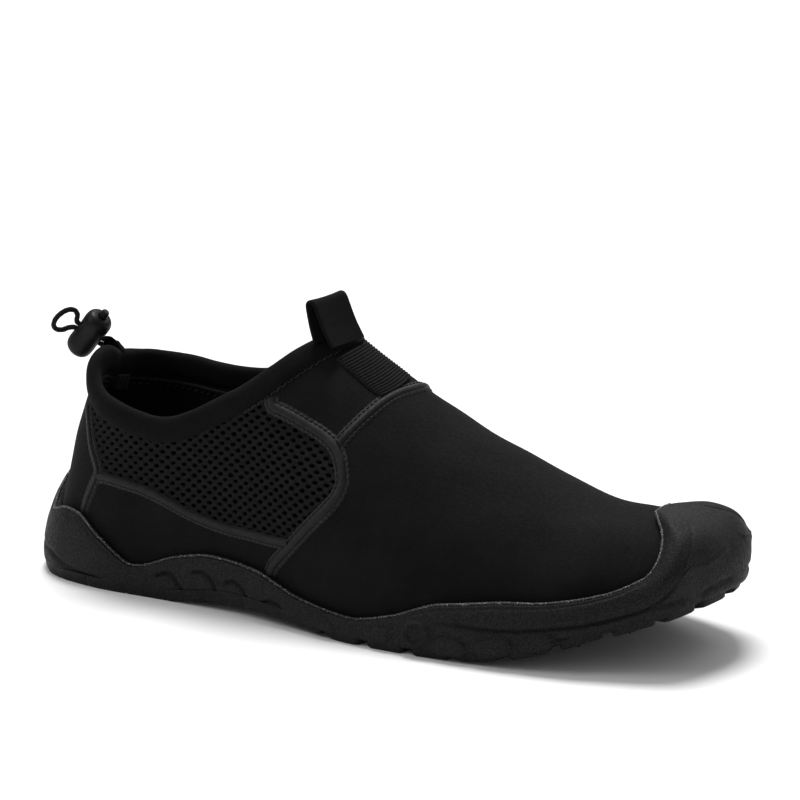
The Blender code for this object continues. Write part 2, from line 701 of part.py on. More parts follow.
def slot_cutter(name, bottom, top, material):
    """A cutter along X for the cord's slot, with round ends."""
    half = SLOT_HALF_WIDTH
    shape = []
    for k in range(ROUND_STEPS + 2):
        angle = math.pi * (k - k // (ROUND_STEPS // 2 + 1)) / (ROUND_STEPS // 2)
        middle = top - half if k <= ROUND_STEPS // 2 else bottom + half
        shape.append((half * math.cos(angle), middle + half * math.sin(angle)))
    lines = [[Vector((x, y, z)) for y, z in shape] for x in (-2 * BARREL_RADIUS, 2 * BARREL_RADIUS)]
    return strip(name, lines, material)


def cut(body, cutter):
    """Cut a body with a cutter that stays hidden."""
    cutter.hide_render = True
    cutter.display_type = "WIRE"
    cutter.parent = body
    boolean = body.modifiers.new(cutter.name, "BOOLEAN")
    boolean.operation = "DIFFERENCE"
    boolean.object = cutter


def lock_matrix():
    """The lock's frame: X along the cord's hole, Z up the barrel."""
    z = LOCK_AXIS
    x = (LOCK_HOLE_AXIS - z * LOCK_HOLE_AXIS.dot(z)).normalized()
    y = z.cross(x)
    return Matrix.Translation(LOCK_CENTRE) @ Matrix((x, y, z)).transposed().to_4x4()


def build_lock(plastic):
    """The cord lock: a barrel with a sprung plunger, both slotted for the cord's two strands."""
    frame = bpy.data.objects.new("cord_lock_frame", None)
    bpy.context.collection.objects.link(frame)
    frame.matrix_world = lock_matrix()
    wall = [(r * BARREL_RADIUS, z) for r, z in BARREL_PROFILE]
    barrel = turned("cord_lock", wall, BARREL_OVAL, plastic)
    cavity = (
        (0.0, BORE_BOTTOM), (BORE_RADIUS, BORE_BOTTOM), (BORE_RADIUS, BORE_TOP),
        (NUB_HOLE_RADIUS, BORE_TOP), (NUB_HOLE_RADIUS, 2 * BORE_TOP), (0.0, 2 * BORE_TOP),
    )
    cut(barrel, turned("bore_cutter", cavity, 1.0, plastic))
    cut(barrel, slot_cutter("slot_cutter", -SLOT_HALF_HEIGHT, SLOT_HALF_HEIGHT, plastic))
    body = (
        (0.0, PLUNGER_BOTTOM), (PLUNGER_RADIUS, PLUNGER_BOTTOM), (PLUNGER_RADIUS, PLUNGER_SHOULDER),
        (NUB_RADIUS, PLUNGER_SHOULDER), (NUB_RADIUS, NUB_TOP - NUB_CHAMFER),
        (NUB_RADIUS - NUB_CHAMFER, NUB_TOP), (0.0, NUB_TOP),
    )
    button = turned("cord_lock_button", body, 1.0, plastic)
    slot_top = SLOT_HALF_HEIGHT + PLUNGER_TRAVEL
    cut(button, slot_cutter("plunger_slot_cutter", -SLOT_HALF_HEIGHT, slot_top, plastic))
    barrel.parent = frame
    button.parent = frame


def cord_route():
    """The points that the cord's middle line passes, from one exit on the collar to the other."""
    frame = lock_matrix()
    high = [frame @ Vector((x, 0, STRAND_OFFSET)) for x in STRAND_REACH]
    low = [frame @ Vector((x, 0, -STRAND_OFFSET)) for x in STRAND_REACH[::-1]]
    loop = [frame @ Vector(place) for place in LOOP_ROUTE]
    return [*map(Vector, HIGH_STRAND), *high, *loop, *low, *map(Vector, LOW_STRAND)]


def build_cord(material):
    """The drawcord: a tube along its route, with a point every one or two diameters."""
    route = [list(p) for p in cord_route()]
    fine = [Vector(p) for p in smooth_run(route, CORD_FINENESS)]
    run = [fine[0]]
    for point in fine[1:]:
        if (point - run[-1]).length >= CORD_SPACING:
            run.append(point)
    run[-1] = fine[-1]
    curve = bpy.data.curves.new("drawcord", "CURVE")
    curve.dimensions = "3D"
    curve.bevel_depth = CORD_RADIUS
    curve.bevel_resolution = 2
    curve.use_fill_caps = True
    spline = curve.splines.new("POLY")
    spline.points.add(len(run) - 1)
    for place, point in zip(spline.points, run):
        place.co = (*point, 1)
    curve.materials.append(material)
    made = bpy.data.objects.new("drawcord", curve)
    bpy.context.collection.objects.link(made)
    return made


def main():
    for old in list(bpy.data.objects):
        bpy.data.objects.remove(old)
    neoprene = paint("neoprene", (0.011, 0.011, 0.012), 0.85)
    padding = paint("collar knit", (0.010, 0.010, 0.011), 0.80)
    rubber_black = paint("rubber", (0.018, 0.018, 0.019), 0.60)
    foam = paint("insole foam", (0.012, 0.012, 0.013), 0.90)
    tape = paint("seam tape", (0.016, 0.016, 0.017), 0.70)
    webbing = paint("webbing", (0.014, 0.014, 0.015), 0.75)
    plastic = paint("black plastic", (0.016, 0.016, 0.017), 0.35)
    cord = paint("cord", (0.013, 0.013, 0.014), 0.80)
    build_sole(rubber_black)
    build_upper(neoprene)
    build_insole(foam)
    build_collar(padding)
    build_webbing(webbing)
    build_pull_loop(webbing)
    for side, word in ((LATERAL, "lateral"), (MEDIAL, "medial")):
        build_tape("front_tape_" + word, side, FRONT_SEAM, TAPE_WIDTH, tape)
        build_tape("lower_tape_" + word, side, LOWER_SEAM, TAPE_WIDTH, tape)
        build_tape("heel_tape_" + word, side, HEEL_SEAM, HEEL_TAPE_WIDTH, tape)
    build_tape("throat_tape", LATERAL, THROAT_SEAM, TAPE_WIDTH, tape)
    build_lock(plastic)
    build_cord(cord)


main()
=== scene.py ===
"""The looks of a slip-on water shoe for the right foot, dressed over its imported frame.

The frame has +X towards the toe, +Y towards the inner (medial) side and +Z up. Sizes are in metres.
"""

import math

import bmesh
import bpy
import numpy as np
from mathutils import Matrix, Vector


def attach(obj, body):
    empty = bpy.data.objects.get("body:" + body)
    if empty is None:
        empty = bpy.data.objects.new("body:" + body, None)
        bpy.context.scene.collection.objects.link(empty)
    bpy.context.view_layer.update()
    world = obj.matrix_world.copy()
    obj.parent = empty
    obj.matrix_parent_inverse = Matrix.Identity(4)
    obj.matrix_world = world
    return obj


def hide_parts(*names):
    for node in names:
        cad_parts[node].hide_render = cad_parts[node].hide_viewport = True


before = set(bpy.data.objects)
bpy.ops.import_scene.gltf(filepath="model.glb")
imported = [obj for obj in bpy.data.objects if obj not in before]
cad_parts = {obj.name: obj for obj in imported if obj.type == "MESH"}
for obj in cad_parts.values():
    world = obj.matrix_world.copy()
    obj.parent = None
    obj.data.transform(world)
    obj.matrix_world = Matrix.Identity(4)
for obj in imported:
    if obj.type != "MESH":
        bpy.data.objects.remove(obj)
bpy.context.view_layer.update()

# The shape of the last, as the shoe's own sizes and sections
SOLE_LENGTH = 0.288
BALL_WIDTH = 0.104
INSTEP_HEIGHT = 0.098
TOE_SPRING = 0.024
UPPER_WALL = 0.0025
RUBBER_WALL = 0.0030
INSOLE_THICKNESS = 0.0035
COLLAR_HEIGHT = 0.0082
COLLAR_THICKNESS = 0.0058
LUG_HEIGHT = 0.0020
CLEARANCE = 0.0003
CURVED_CLEARANCE = 0.0005
WELD = 0.00001
SECTION_COLUMNS = (
    "along", "lateral", "medial", "seat", "crown", "top_lateral", "top_medial", "peak", "ridge",
    "full", "bulge", "tread",
)
SECTIONS = (
    ("heel back", -0.118, 0.000, 0.000, 0.080, 1.000, 0.776, 0.776, 0.000, 0.00, 1.35, 0.000, 0.16),
    ("heel corner", -0.083, 0.211, 0.211, 0.080, 1.040, 0.797, 0.752, 0.000, 0.00, 1.50, 0.004, 0.00),
    ("heel side", 0.000, 0.298, 0.298, 0.080, 1.200, 0.663, 0.726, 0.000, 0.00, 1.90, 0.012, 0.00),
    ("ankle", 0.110, 0.308, 0.288, 0.082, 1.350, 0.610, 0.695, 0.000, 0.02, 2.15, 0.018, 0.00),
    ("waist", 0.220, 0.337, 0.275, 0.095, 1.180, 0.757, 0.759, 0.003, 0.05, 2.20, 0.018, 0.17),
    ("throat", 0.322, 0.390, 0.300, 0.090, 0.940, 0.940, 0.940, 0.043, 0.07, 2.20, 0.018, 0.12),
    ("instep", 0.415, 0.428, 0.350, 0.078, 0.815, 0.815, 0.815, 0.006, 0.08, 2.15, 0.015, 0.00),
    ("lateral ball", 0.503, 0.440, 0.395, 0.072, 0.690, 0.690, 0.690, 0.000, 0.08, 2.10, 0.012, 0.00),
    ("medial ball", 0.597, 0.430, 0.420, 0.080, 0.575, 0.575, 0.575, 0.000, 0.08, 2.10, 0.010, 0.05),
    ("toes", 0.667, 0.400, 0.420, 0.110, 0.507, 0.507, 0.507, 0.000, 0.07, 2.15, 0.010, 0.22),
    ("toe side", 0.726, 0.350, 0.400, 0.160, 0.490, 0.490, 0.490, 0.000, 0.06, 2.20, 0.008, 0.45),
    ("toe corner", 0.813, 0.200, 0.310, 0.258, 0.490, 0.490, 0.490, 0.000, 0.06, 2.20, 0.006, 0.77),
    ("toe tip", 0.848, -0.090, 0.090, 0.285, 0.490, 0.490, 0.490, 0.000, 0.06, 2.20, 0.004, 0.88),
)
HEEL_AXIS_ROW = 2
THROAT_ROW = 5
TOE_AXIS_ROW = 10
LAST_ROW = len(SECTIONS) - 1
COLUMN_UNITS = {
    "along": SOLE_LENGTH, "lateral": BALL_WIDTH, "medial": BALL_WIDTH, "seat": INSTEP_HEIGHT,
    "crown": INSTEP_HEIGHT, "top_lateral": INSTEP_HEIGHT, "top_medial": INSTEP_HEIGHT,
    "peak": INSTEP_HEIGHT,
    "ridge": BALL_WIDTH, "full": 1.0, "bulge": BALL_WIDTH, "tread": TOE_SPRING,
}
MEDIAL, LATERAL = 1, -1
# Row, lateral rim, medial rim, and the thickness at the rim, the belly, the crest and the edge
RUBBER = (
    (0.0, 0.280, 0.280, 1.4, 1.7, 0.0, 1.6), (0.3, 0.240, 0.240, 1.3, 1.7, 0.0, 1.6),
    (0.7, 0.178, 0.178, 1.1, 1.8, 0.0, 1.8), (1.3, 0.172, 0.172, 0.8, 1.8, 0.0, 1.9),
    (1.7, 0.140, 0.145, 0.8, 1.6, 0.0, 1.8), (2.1, 0.072, 0.085, 0.8, 1.5, 0.0, 1.8),
    (2.6, 0.014, 0.030, 0.8, 1.4, 0.0, 1.8), (3.2, 0.036, 0.050, 0.8, 1.4, 0.0, 1.8),
    (3.8, 0.050, 0.075, 0.8, 1.4, 0.0, 1.8), (4.4, 0.048, 0.080, 0.8, 1.4, 0.0, 1.8),
    (5.2, 0.018, 0.050, 0.8, 1.4, 0.0, 1.8), (6.0, 0.008, 0.020, 0.8, 1.4, 0.0, 1.8),
    (6.7, 0.045, 0.045, 0.8, 1.4, 0.0, 1.8), (7.5, 0.132, 0.120, 0.8, 1.5, 0.0, 1.8),
    (8.6, 0.185, 0.175, 0.8, 1.5, 0.0, 1.8), (10.2, 0.188, 0.188, 0.8, 1.5, 0.2, 1.2),
    (10.65, 0.238, 0.238, 0.8, 1.3, 0.6, 1.3), (10.80, 0.325, 0.325, 0.8, 1.1, 1.0, 1.2),
    (10.95, 0.520, 0.520, 0.8, 0.9, 1.4, 1.0), (11.10, 0.770, 0.770, 0.8, 0.8, 1.7, 0.7),
    (11.30, 0.860, 0.860, 0.8, 0.6, 1.5, 0.1), (12.0, 0.885, 0.885, 0.8, 0.6, 0.8, -0.4),
)
RUBBER_LEVELS = (0.25, 0.5, 0.75, 0.93)
EDGE_ROLL = 0.0012
PEAK_POWER = 6
PROBE = 0.01
SAMPLES = 600


def column(name):
    """One column of SECTIONS, in metres where it is a length."""
    place = 1 + SECTION_COLUMNS.index(name)
    return np.array([row[place] * COLUMN_UNITS[name] for row in SECTIONS])


COLUMNS = {name: column(name) for name in SECTION_COLUMNS}


def unit(vectors):
    """Vectors brought to a length of 1."""
    return vectors / np.maximum(np.linalg.norm(vectors, axis=-1, keepdims=True), 1e-12)


def run_of(points):
    """The distance of each point along its line, from the first."""
    return np.concatenate([[0], np.cumsum(np.linalg.norm(np.diff(points, axis=0), axis=1))])


def at_run(places, run, values):
    """A line's values read at distances along it."""
    return np.stack([np.interp(places, run, values[:, k]) for k in range(values.shape[1])], -1)


def through(values, row, before, after):
    """A smooth curve through values or places, read at rows that need not be whole."""
    run = np.array([before, *values, after])
    row = np.asarray(row, float)
    i = np.clip(np.floor(row).astype(int), 0, len(values) - 2)
    f = (row - i).reshape(row.shape + (1,) * (run.ndim - 1))
    a, b, c, d = run[i], run[i + 1], run[i + 2], run[i + 3]
    return b + 0.5 * f * (c - a + f * (2 * a - 5 * b + 4 * c - d + f * (3 * (b - c) + d - a)))


def read(name, row):
    """A column that is the same on both sides."""
    values = COLUMNS[name]
    return through(values, row, values[1], values[-2])


def sided(lateral, medial, side, row, sign=1):
    """A column of each side; past the heel's back and the toe's tip it goes on with the other's."""
    found = []
    for here, there, turn in ((medial, lateral, 1), (lateral, medial, -1)):
        mine = COLUMNS[here] * (turn if sign < 0 else 1)
        other = COLUMNS[there] * (-turn if sign < 0 else 1)
        found.append(through(mine, row, other[1], other[-2]))
    return np.where(np.asarray(side) > 0, found[0], found[1])


def surface(side, row, share):
    """Points of the upper's outer face: share goes from 0 at the sole to 1 at the crown."""
    side, row, share = np.broadcast_arrays(*(np.asarray(v, float) for v in (side, row, share)))
    side, row = np.where(row < 0, -side, side), np.abs(row)
    side = np.where(row > LAST_ROW, -side, side)
    row = np.where(row > LAST_ROW, 2 * LAST_ROW - row, row)
    side = np.where(share > 1, -side, side)
    share = np.where(share > 1, 2 - share, share)
    pole = np.minimum(row, TOE_AXIS_ROW)
    foot = np.stack([read("along", row), sided("lateral", "medial", side, row, -1)], -1)
    top = np.stack([read("along", np.maximum(pole, HEEL_AXIS_ROW)), read("ridge", pole)], -1)
    out = unit(foot - top)
    angle = share * math.pi / 2
    power = 2 / read("full", row)
    inward = (1 - np.maximum(np.cos(angle), 0) ** power)[..., None]
    plan = foot + (top - foot) * inward + out * (read("bulge", row) * np.sin(2 * angle))[..., None]
    seat = read("seat", row)
    rise = np.maximum(np.sin(angle), 0)
    height = seat + (read("crown", pole) - seat) * rise**power + read("peak", pole) * rise**PEAK_POWER
    return np.concatenate([plan, height[..., None]], -1)


def share_at(row, height):
    """The share of the section at which its face reaches a height."""
    seat, crown = read("seat", row), read("crown", np.minimum(row, TOE_AXIS_ROW))
    rise = np.clip((height - seat) / (crown - seat), 0, 1)
    return np.arcsin(rise ** (read("full", row) / 2)) / (math.pi / 2)


def topline_share(side, row):
    """The share of the section at which the upper ends: 1 where it closes over the foot."""
    height = sided("top_lateral", "top_medial", side, row)
    return np.where(np.asarray(row) >= THROAT_ROW, 1.0, share_at(row, height))


def normal(side, row, share):
    """The outward unit normals of the upper's outer face."""
    side, row, share = np.broadcast_arrays(*(np.asarray(v, float) for v in (side, row, share)))
    row = np.where((np.abs(share - 1) < PROBE) & (row > TOE_AXIS_ROW), TOE_AXIS_ROW, row)
    along = surface(side, row + PROBE, share) - surface(side, row - PROBE, share)
    up = surface(side, row, share + PROBE) - surface(side, row, np.maximum(share - PROBE, 0))
    return unit(np.cross(along, up) * -side[..., None])


def ripple(points, wave_length):
    """A smooth pattern of soft hollows and swells in space, from -1 to 1."""
    x, y, z = (points[..., k] * math.tau / wave_length for k in range(3))
    first = np.sin(x + 1.7 * np.sin(0.6 * z + 0.4) + 0.5 * y)
    second = np.sin(0.8 * z - 0.7 * x + 1.3 * np.sin(0.5 * y + 1.1))
    return (first + second * np.sin(0.9 * y + 0.3 * x + 2.0)) / 2


def drape(side, row, share):
    """How far the stretched cloth stands off the last: soft swells, and none at the rubber's edge."""
    points = surface(side, row, share)
    inside_edge = np.clip((share - wave(side, row)) / 0.12, 0, 1) ** 2
    return SWELL * inside_edge * ripple(points, SWELL_LENGTH)


def skin(side, row, share, lift):
    """Points that stand off the dressed upper's face by a lift."""
    away = (drape(side, row, share) + lift)[..., None]
    return surface(side, row, share) + normal(side, row, share) * away


def plan_out(side, row):
    """The outward directions of the wall's foot, in plan."""
    out = normal(side, row, 0.0)
    out[..., 2] = 0
    return unit(out)


def standing(side, row, offset, height):
    """Points at a height, out from the wall's foot by an offset in plan."""
    found = surface(side, row, 0.0) + plan_out(side, row) * np.asarray(offset)[..., None]
    found[..., 2] = height
    return found


def eased(table, place, row):
    """A table's column at rows that need not be listed, without overshoot between its rows."""
    rows = np.array([entry[0] for entry in table])
    values = np.array([entry[place] for entry in table])
    gaps = np.diff(values) / np.diff(rows)
    slopes = np.zeros(len(rows))
    rising = gaps[:-1] * gaps[1:] > 0
    total = np.where(rising, gaps[:-1] + gaps[1:], 1)
    slopes[1:-1] = np.where(rising, 2 * gaps[:-1] * gaps[1:] / total, 0)
    row = np.asarray(row, float)
    i = np.clip(np.searchsorted(rows, row, side="right") - 1, 0, len(rows) - 2)
    span = rows[i + 1] - rows[i]
    f = np.clip((row - rows[i]) / span, 0, 1)
    start = values[i] * (1 + 2 * f) * (1 - f) ** 2 + slopes[i] * span * f * (1 - f) ** 2
    end = values[i + 1] * (3 - 2 * f) * f**2 - slopes[i + 1] * span * (1 - f) * f**2
    return start + end


def wave(side, row):
    """The share of the section at which the rubber ends."""
    row = np.where(np.asarray(row) > LAST_ROW, 2 * LAST_ROW - row, np.abs(row))
    return np.where(np.asarray(side) > 0, eased(RUBBER, 2, row), eased(RUBBER, 1, row))


def spaced_rows(count, share=0.3, first=0.0, last=LAST_ROW):
    """Rows at equal steps along the form's lateral side."""
    rows = np.linspace(first, last, SAMPLES)
    run = run_of(surface(LATERAL, rows, share))
    return np.interp(np.linspace(0, run[-1], count), run, rows)


def there_and_back(rows):
    """Sides and rows along the lateral side and back along the medial one."""
    sides = np.concatenate([np.full(len(rows), LATERAL), np.full(len(rows) - 2, MEDIAL)])
    return sides, np.concatenate([rows, rows[-2:0:-1]])


def ring(count):
    """Sides and rows around the shoe: the lateral side to the toe, then the medial side back."""
    rows = spaced_rows(count)
    rows[np.argmin(np.abs(rows - THROAT_ROW))] = THROAT_ROW
    return there_and_back(rows)


def smooth_run(places, steps):
    """Places along a smooth curve through the given ones."""
    places = np.array(places, float)
    at = np.linspace(0, len(places) - 1, (len(places) - 1) * steps + 1)
    return through(places, at, 2 * places[0] - places[1], 2 * places[-1] - places[-2])


def even_run(points, pitch):
    """Points at equal steps along a line, with the step nearest to a pitch, and their runs."""
    run = run_of(points)
    at = np.linspace(0, run[-1], max(int(round(run[-1] / pitch)), 1) + 1)
    return at_run(at, run, points), at


def grid_faces(lines, count, closed_ring, closed_line, start=0):
    """Faces of a grid of lines, each of so many points."""
    i = np.arange(lines if closed_ring else lines - 1)
    k = np.arange(count if closed_line else count - 1)
    i, k = (v.ravel() for v in np.meshgrid(i, k, indexing="ij"))
    j, m = (i + 1) % lines, (k + 1) % count
    return np.stack([i * count + k, j * count + k, j * count + m, i * count + m], -1) + start


def capped(lines):
    """Faces of a row of closed rings, with a face over each end."""
    total, count = lines.shape[:2]
    ends = [list(range(count)), list(range((total - 1) * count, total * count))[::-1]]
    return grid_faces(total, count, False, True).tolist() + ends


def tube(places, out, up, radius, count, squash=1.0):
    """Rings of points around a line, whose radius may vary along it and around it."""
    turns = np.linspace(0, math.tau, count, endpoint=False)[:, None]
    radius = np.broadcast_to(radius, (len(places), count))[..., None]
    around = out[:, None] * np.cos(turns) + up[:, None] * np.sin(turns) * squash
    return places[:, None] + around * radius


def across_faces(total, count, place):
    """Faces from side to side of a ring of lines, at one of their places."""
    faces = []
    for i in range(total // 2):
        corners = []
        for j in (i, i + 1, (total - i - 1) % total, (total - i) % total):
            if j * count + place not in corners:
                corners.append(j * count + place)
        if len(corners) > 2:
            faces.append(corners)
    return faces


def make(name, points, faces, material, node=None, body="shoe", sharp=None):
    """A mesh piece that rides on a body, and stands for a node where one is named."""
    mesh = bpy.data.meshes.new(name)
    mesh.from_pydata(np.asarray(points).reshape(-1, 3).tolist(), [], [list(f) for f in faces])
    work = bmesh.new()
    work.from_mesh(mesh)
    bmesh.ops.remove_doubles(work, verts=work.verts, dist=WELD)
    bmesh.ops.dissolve_degenerate(work, dist=WELD / 2, edges=work.edges)
    bmesh.ops.recalc_face_normals(work, faces=work.faces)
    work.to_mesh(mesh)
    work.free()
    mesh.materials.append(material)
    mesh.shade_smooth()
    if sharp:
        mesh.set_sharp_from_angle(angle=math.radians(sharp))
    made = bpy.data.objects.new(name, mesh)
    bpy.context.collection.objects.link(made)
    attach(made, body)
    if node:
        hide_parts(node)
    return made


# Materials


class Nodes:
    """The node tree of one material, with short calls to add and link nodes."""

    def __init__(self, name, colour, roughness):
        self.material = bpy.data.materials.new(name)
        self.material.use_nodes = True
        self.tree = self.material.node_tree
        self.shader = self.tree.nodes["Principled BSDF"]
        self.put(self.shader, "Base Color", (*colour, 1))
        self.put(self.shader, "Roughness", roughness)
        self.place = self.add("ShaderNodeTexCoord").outputs["Object"]

    def put(self, node, name, value):
        """Set a node's socket."""
        node.inputs[name].default_value = value

    def gloss(self, specular, sheen=0.0, sheen_roughness=0.5):
        """The shader's specular level and its sheen."""
        self.put(self.shader, "Specular IOR Level", specular)
        self.put(self.shader, "Sheen Weight", sheen)
        self.put(self.shader, "Sheen Roughness", sheen_roughness)

    def drive(self, name, source):
        """Let a pattern set one of the shader's sockets."""
        self.link(source, self.shader, name)

    def add(self, kind, **values):
        """A new node with its settings."""
        node = self.tree.nodes.new(kind)
        for name, value in values.items():
            setattr(node, name, value)
        return node

    def link(self, source, node, name):
        """Let an output set a node's socket."""
        self.tree.links.new(source, node.inputs[name])

    def texture(self, node, output, **values):
        """A pattern in the object's own space."""
        self.link(self.place, node, "Vector")
        for name, value in values.items():
            self.put(node, name, value)
        return node.outputs[output]

    def noise(self, scale, detail=3.0):
        """A noise pattern with so many features to a metre."""
        return self.texture(self.add("ShaderNodeTexNoise"), "Fac", Scale=scale, Detail=detail)

    def cells(self, scale):
        """A pattern of small round cells."""
        return self.texture(self.add("ShaderNodeTexVoronoi"), "Distance", Scale=scale)

    def threads(self, scale, direction, distortion=0.0):
        """Fine parallel threads."""
        node = self.add("ShaderNodeTexWave", bands_direction=direction)
        return self.texture(node, "Fac", Scale=scale, Distortion=distortion)

    def span(self, source, low, high, from_low=0.0, from_high=1.0):
        """A value carried from one span to another."""
        node = self.add("ShaderNodeMapRange")
        self.link(source, node, "Value")
        for name, value in (
            ("From Min", from_low), ("From Max", from_high), ("To Min", low), ("To Max", high),
        ):
            self.put(node, name, value)
        return node.outputs["Result"]

    def blend(self, source, low, high, from_low=0.0, from_high=1.0):
        """A colour between two, by a value."""
        node = self.add("ShaderNodeMix", data_type="RGBA")
        self.link(self.span(source, 0, 1, from_low, from_high), node, "Factor")
        node.inputs[6].default_value = (*low, 1)
        node.inputs[7].default_value = (*high, 1)
        return node.outputs[2]

    def bump(self, source, height, strength=1.0, below=None):
        """Relief of a height in metres, on top of the relief below it."""
        node = self.add("ShaderNodeBump")
        self.put(node, "Distance", height)
        self.put(node, "Strength", strength)
        self.link(source, node, "Height")
        if below is not None:
            self.link(below, node, "Normal")
        return node.outputs["Normal"]


def grey(value, warm=0.0):
    """A grey, a little warmer where asked."""
    return (value * (1 + warm), value, value * (1 - warm))


def neoprene_material(name, shade, sheen=0.03):
    """Stretch knit over foam: fine stitches, soft mottling and a dull sheen."""
    m = Nodes(name, grey(shade), 0.85)
    m.gloss(0.05, sheen)
    m.drive("Base Color", m.blend(m.noise(60, 4), grey(shade * 0.82), grey(shade * 1.22), 0.35, 0.65))
    m.drive("Roughness", m.span(m.noise(900, 2), 0.74, 0.92, 0.3, 0.7))
    soft = m.bump(m.noise(90, 3), 0.0006, 0.25)
    knit = m.bump(m.cells(1900), 0.00025, 0.35, soft)
    m.drive("Normal", m.bump(m.noise(3800, 2), 0.0002, 0.4, knit))
    return m.material


def rubber_material():
    """Moulded rubber with a fine sparkled grain."""
    m = Nodes("rubber", grey(0.010, 0.01), 0.6)
    m.gloss(0.08)
    fleck = m.noise(2200, 3)
    m.drive("Base Color", m.blend(fleck, grey(0.0065, 0.01), grey(0.026, 0.01), 0.42, 0.72))
    m.drive("Roughness", m.span(m.noise(700, 3), 0.44, 0.66, 0.3, 0.7))
    soft = m.bump(m.noise(150, 3), 0.0005, 0.2)
    grain = m.bump(m.noise(1300, 4), 0.0005, 0.7, soft)
    m.drive("Normal", m.bump(fleck, 0.0002, 0.5, grain))
    return m.material


def rim_grain_and_glint_material():
    """The rubber's rough rim: real grain in its roughness and bumps, and bright painted glints in its colour
    where its grains catch the light.
    """
    m = Nodes("rubber rim with painted glints", grey(0.02, 0.01), 0.5)
    m.gloss(0.4)
    grain = m.noise(1900, 3)
    # Painted highlight: the brightest flecks of this colour are glints of light painted onto the rim, not a
    # colour of the rubber.
    m.drive("Base Color", m.blend(grain, grey(0.012, 0.01), grey(0.34, 0.01), 0.56, 0.70))
    m.drive("Roughness", m.span(grain, 0.55, 0.30, 0.45, 0.7))
    m.drive("Normal", m.bump(grain, 0.0005, 0.9))
    return m.material


def tape_material():
    """Close-woven tape, pulled smooth over its cord, with a satin gloss."""
    m = Nodes("seam tape", grey(0.009), 0.55)
    m.gloss(0.14, 0.05, 0.4)
    m.drive("Base Color", m.blend(m.noise(400, 3), grey(0.007), grey(0.013), 0.3, 0.7))
    m.drive("Roughness", m.span(m.noise(1200, 2), 0.42, 0.62, 0.3, 0.7))
    fine = m.bump(m.threads(900, "DIAGONAL", 0.4), 0.00012, 0.4)
    m.drive("Normal", m.bump(m.noise(2500, 2), 0.0002, 0.4, fine))
    return m.material


def webbing_material(name, shade, scale):
    """Woven webbing: fine threads across and along."""
    m = Nodes(name, grey(shade), 0.7)
    m.gloss(0.06, 0.02, 0.35)
    m.drive("Base Color", m.blend(m.noise(500, 3), grey(shade * 0.8), grey(shade * 1.3), 0.3, 0.7))
    across = m.bump(m.threads(scale, "Y", 0.3), 0.00018, 0.5)
    up = m.bump(m.threads(scale * 1.2, "Z", 0.3), 0.00015, 0.4, across)
    m.drive("Normal", m.bump(m.noise(3000, 2), 0.0002, 0.35, up))
    return m.material


def mesh_material():
    """The knit of the mesh panels: matt threads with a slight gloss."""
    m = Nodes("mesh knit", grey(0.006), 0.7)
    m.gloss(0.08, 0.02, 0.4)
    m.drive("Base Color", m.blend(m.noise(700, 3), grey(0.004), grey(0.009), 0.3, 0.7))
    fine = m.bump(m.threads(850, "Z", 1.5), 0.0003, 0.55)
    m.drive("Normal", m.bump(m.noise(2800, 2), 0.0003, 0.5, fine))
    return m.material


def plastic_material():
    """Satin moulded plastic."""
    m = Nodes("lock plastic", grey(0.0055), 0.4)
    m.gloss(0.12)
    m.drive("Roughness", m.span(m.noise(300, 4), 0.36, 0.50, 0.3, 0.7))
    m.drive("Normal", m.bump(m.noise(1800, 2), 0.00012, 0.25))
    return m.material


def thread_material():
    """Sewing thread, a little brighter than the cloth."""
    m = Nodes("thread", grey(0.016), 0.5)
    m.gloss(0.3, 0.05)
    m.drive("Normal", m.bump(m.threads(2500, "DIAGONAL"), 0.0001, 0.5))
    m.drive("Base Color", m.blend(m.noise(900, 2), grey(0.012), grey(0.026), 0.3, 0.7))
    return m.material


# The rubber sole

SOLE_STATIONS = 520
WALL_LEVELS = 44
LIP_STEPS = 8
LIP_HEIGHT = 0.0008
BEAD_RADIUS = 0.00058
BEAD_ROUGHNESS = 0.22
BEAD_GRAIN = 0.0016
BEAD_POINTS = 8
INNER_LEVELS = (0.8, 0.5, 0.2)


def lip(side, row, angle):
    """The rubber's rounded top edge: angle 0 is on its outer face and half a turn on its inner."""
    rim = eased(RUBBER, 3, row) * RUBBER_WALL
    reach = wave(side, row)
    rise = surface(side, row, reach + PROBE) - surface(side, row, np.maximum(reach - PROBE, 0))
    per_share = np.linalg.norm(rise, axis=-1) / (PROBE + np.minimum(reach, PROBE))
    share = reach + LIP_HEIGHT * (np.sin(angle) - 1) / per_share
    lift = CURVED_CLEARANCE + rim / 2 * (1 + np.cos(angle))
    return surface(side, row, share) + normal(side, row, share) * lift[..., None]


def wall_points(side, row):
    """The rubber's outer wall in even levels, from its lower edge to its rim."""
    seat, reach = read("seat", row), wave(side, row)
    base = np.maximum(read("tread", row), 0) + LUG_HEIGHT
    rim, belly, crest, edge = (eased(RUBBER, k, row) * RUBBER_WALL for k in (3, 4, 5, 6))
    stand = np.maximum(edge, CURVED_CLEARANCE + belly)
    line = [
        standing(side, row, edge - EDGE_ROLL, base),
        standing(side, row, edge, base + EDGE_ROLL),
        standing(side, row, stand, (base + 2 * seat) / 3),
    ]
    for level in RUBBER_LEVELS:
        lift = CURVED_CLEARANCE + rim + (belly - rim) * math.sqrt(1 - level * level)
        lift += crest * math.sin(math.pi * level)
        share = reach * level
        line.append(surface(side, row, share) + normal(side, row, share) * lift[:, None])
    line.append(lip(side, row, np.zeros(len(row))))
    at = np.linspace(0, len(line) - 1, 8 * len(line))
    fine = through(line, at, 2 * line[0] - line[1], 2 * line[-1] - line[-2])
    return np.stack([even_levels(one) for one in np.moveaxis(fine, 1, 0)])


def even_levels(line):
    """A line's points moved to even steps."""
    run = run_of(line)
    return at_run(np.linspace(0, run[-1], WALL_LEVELS + 1), run, line)


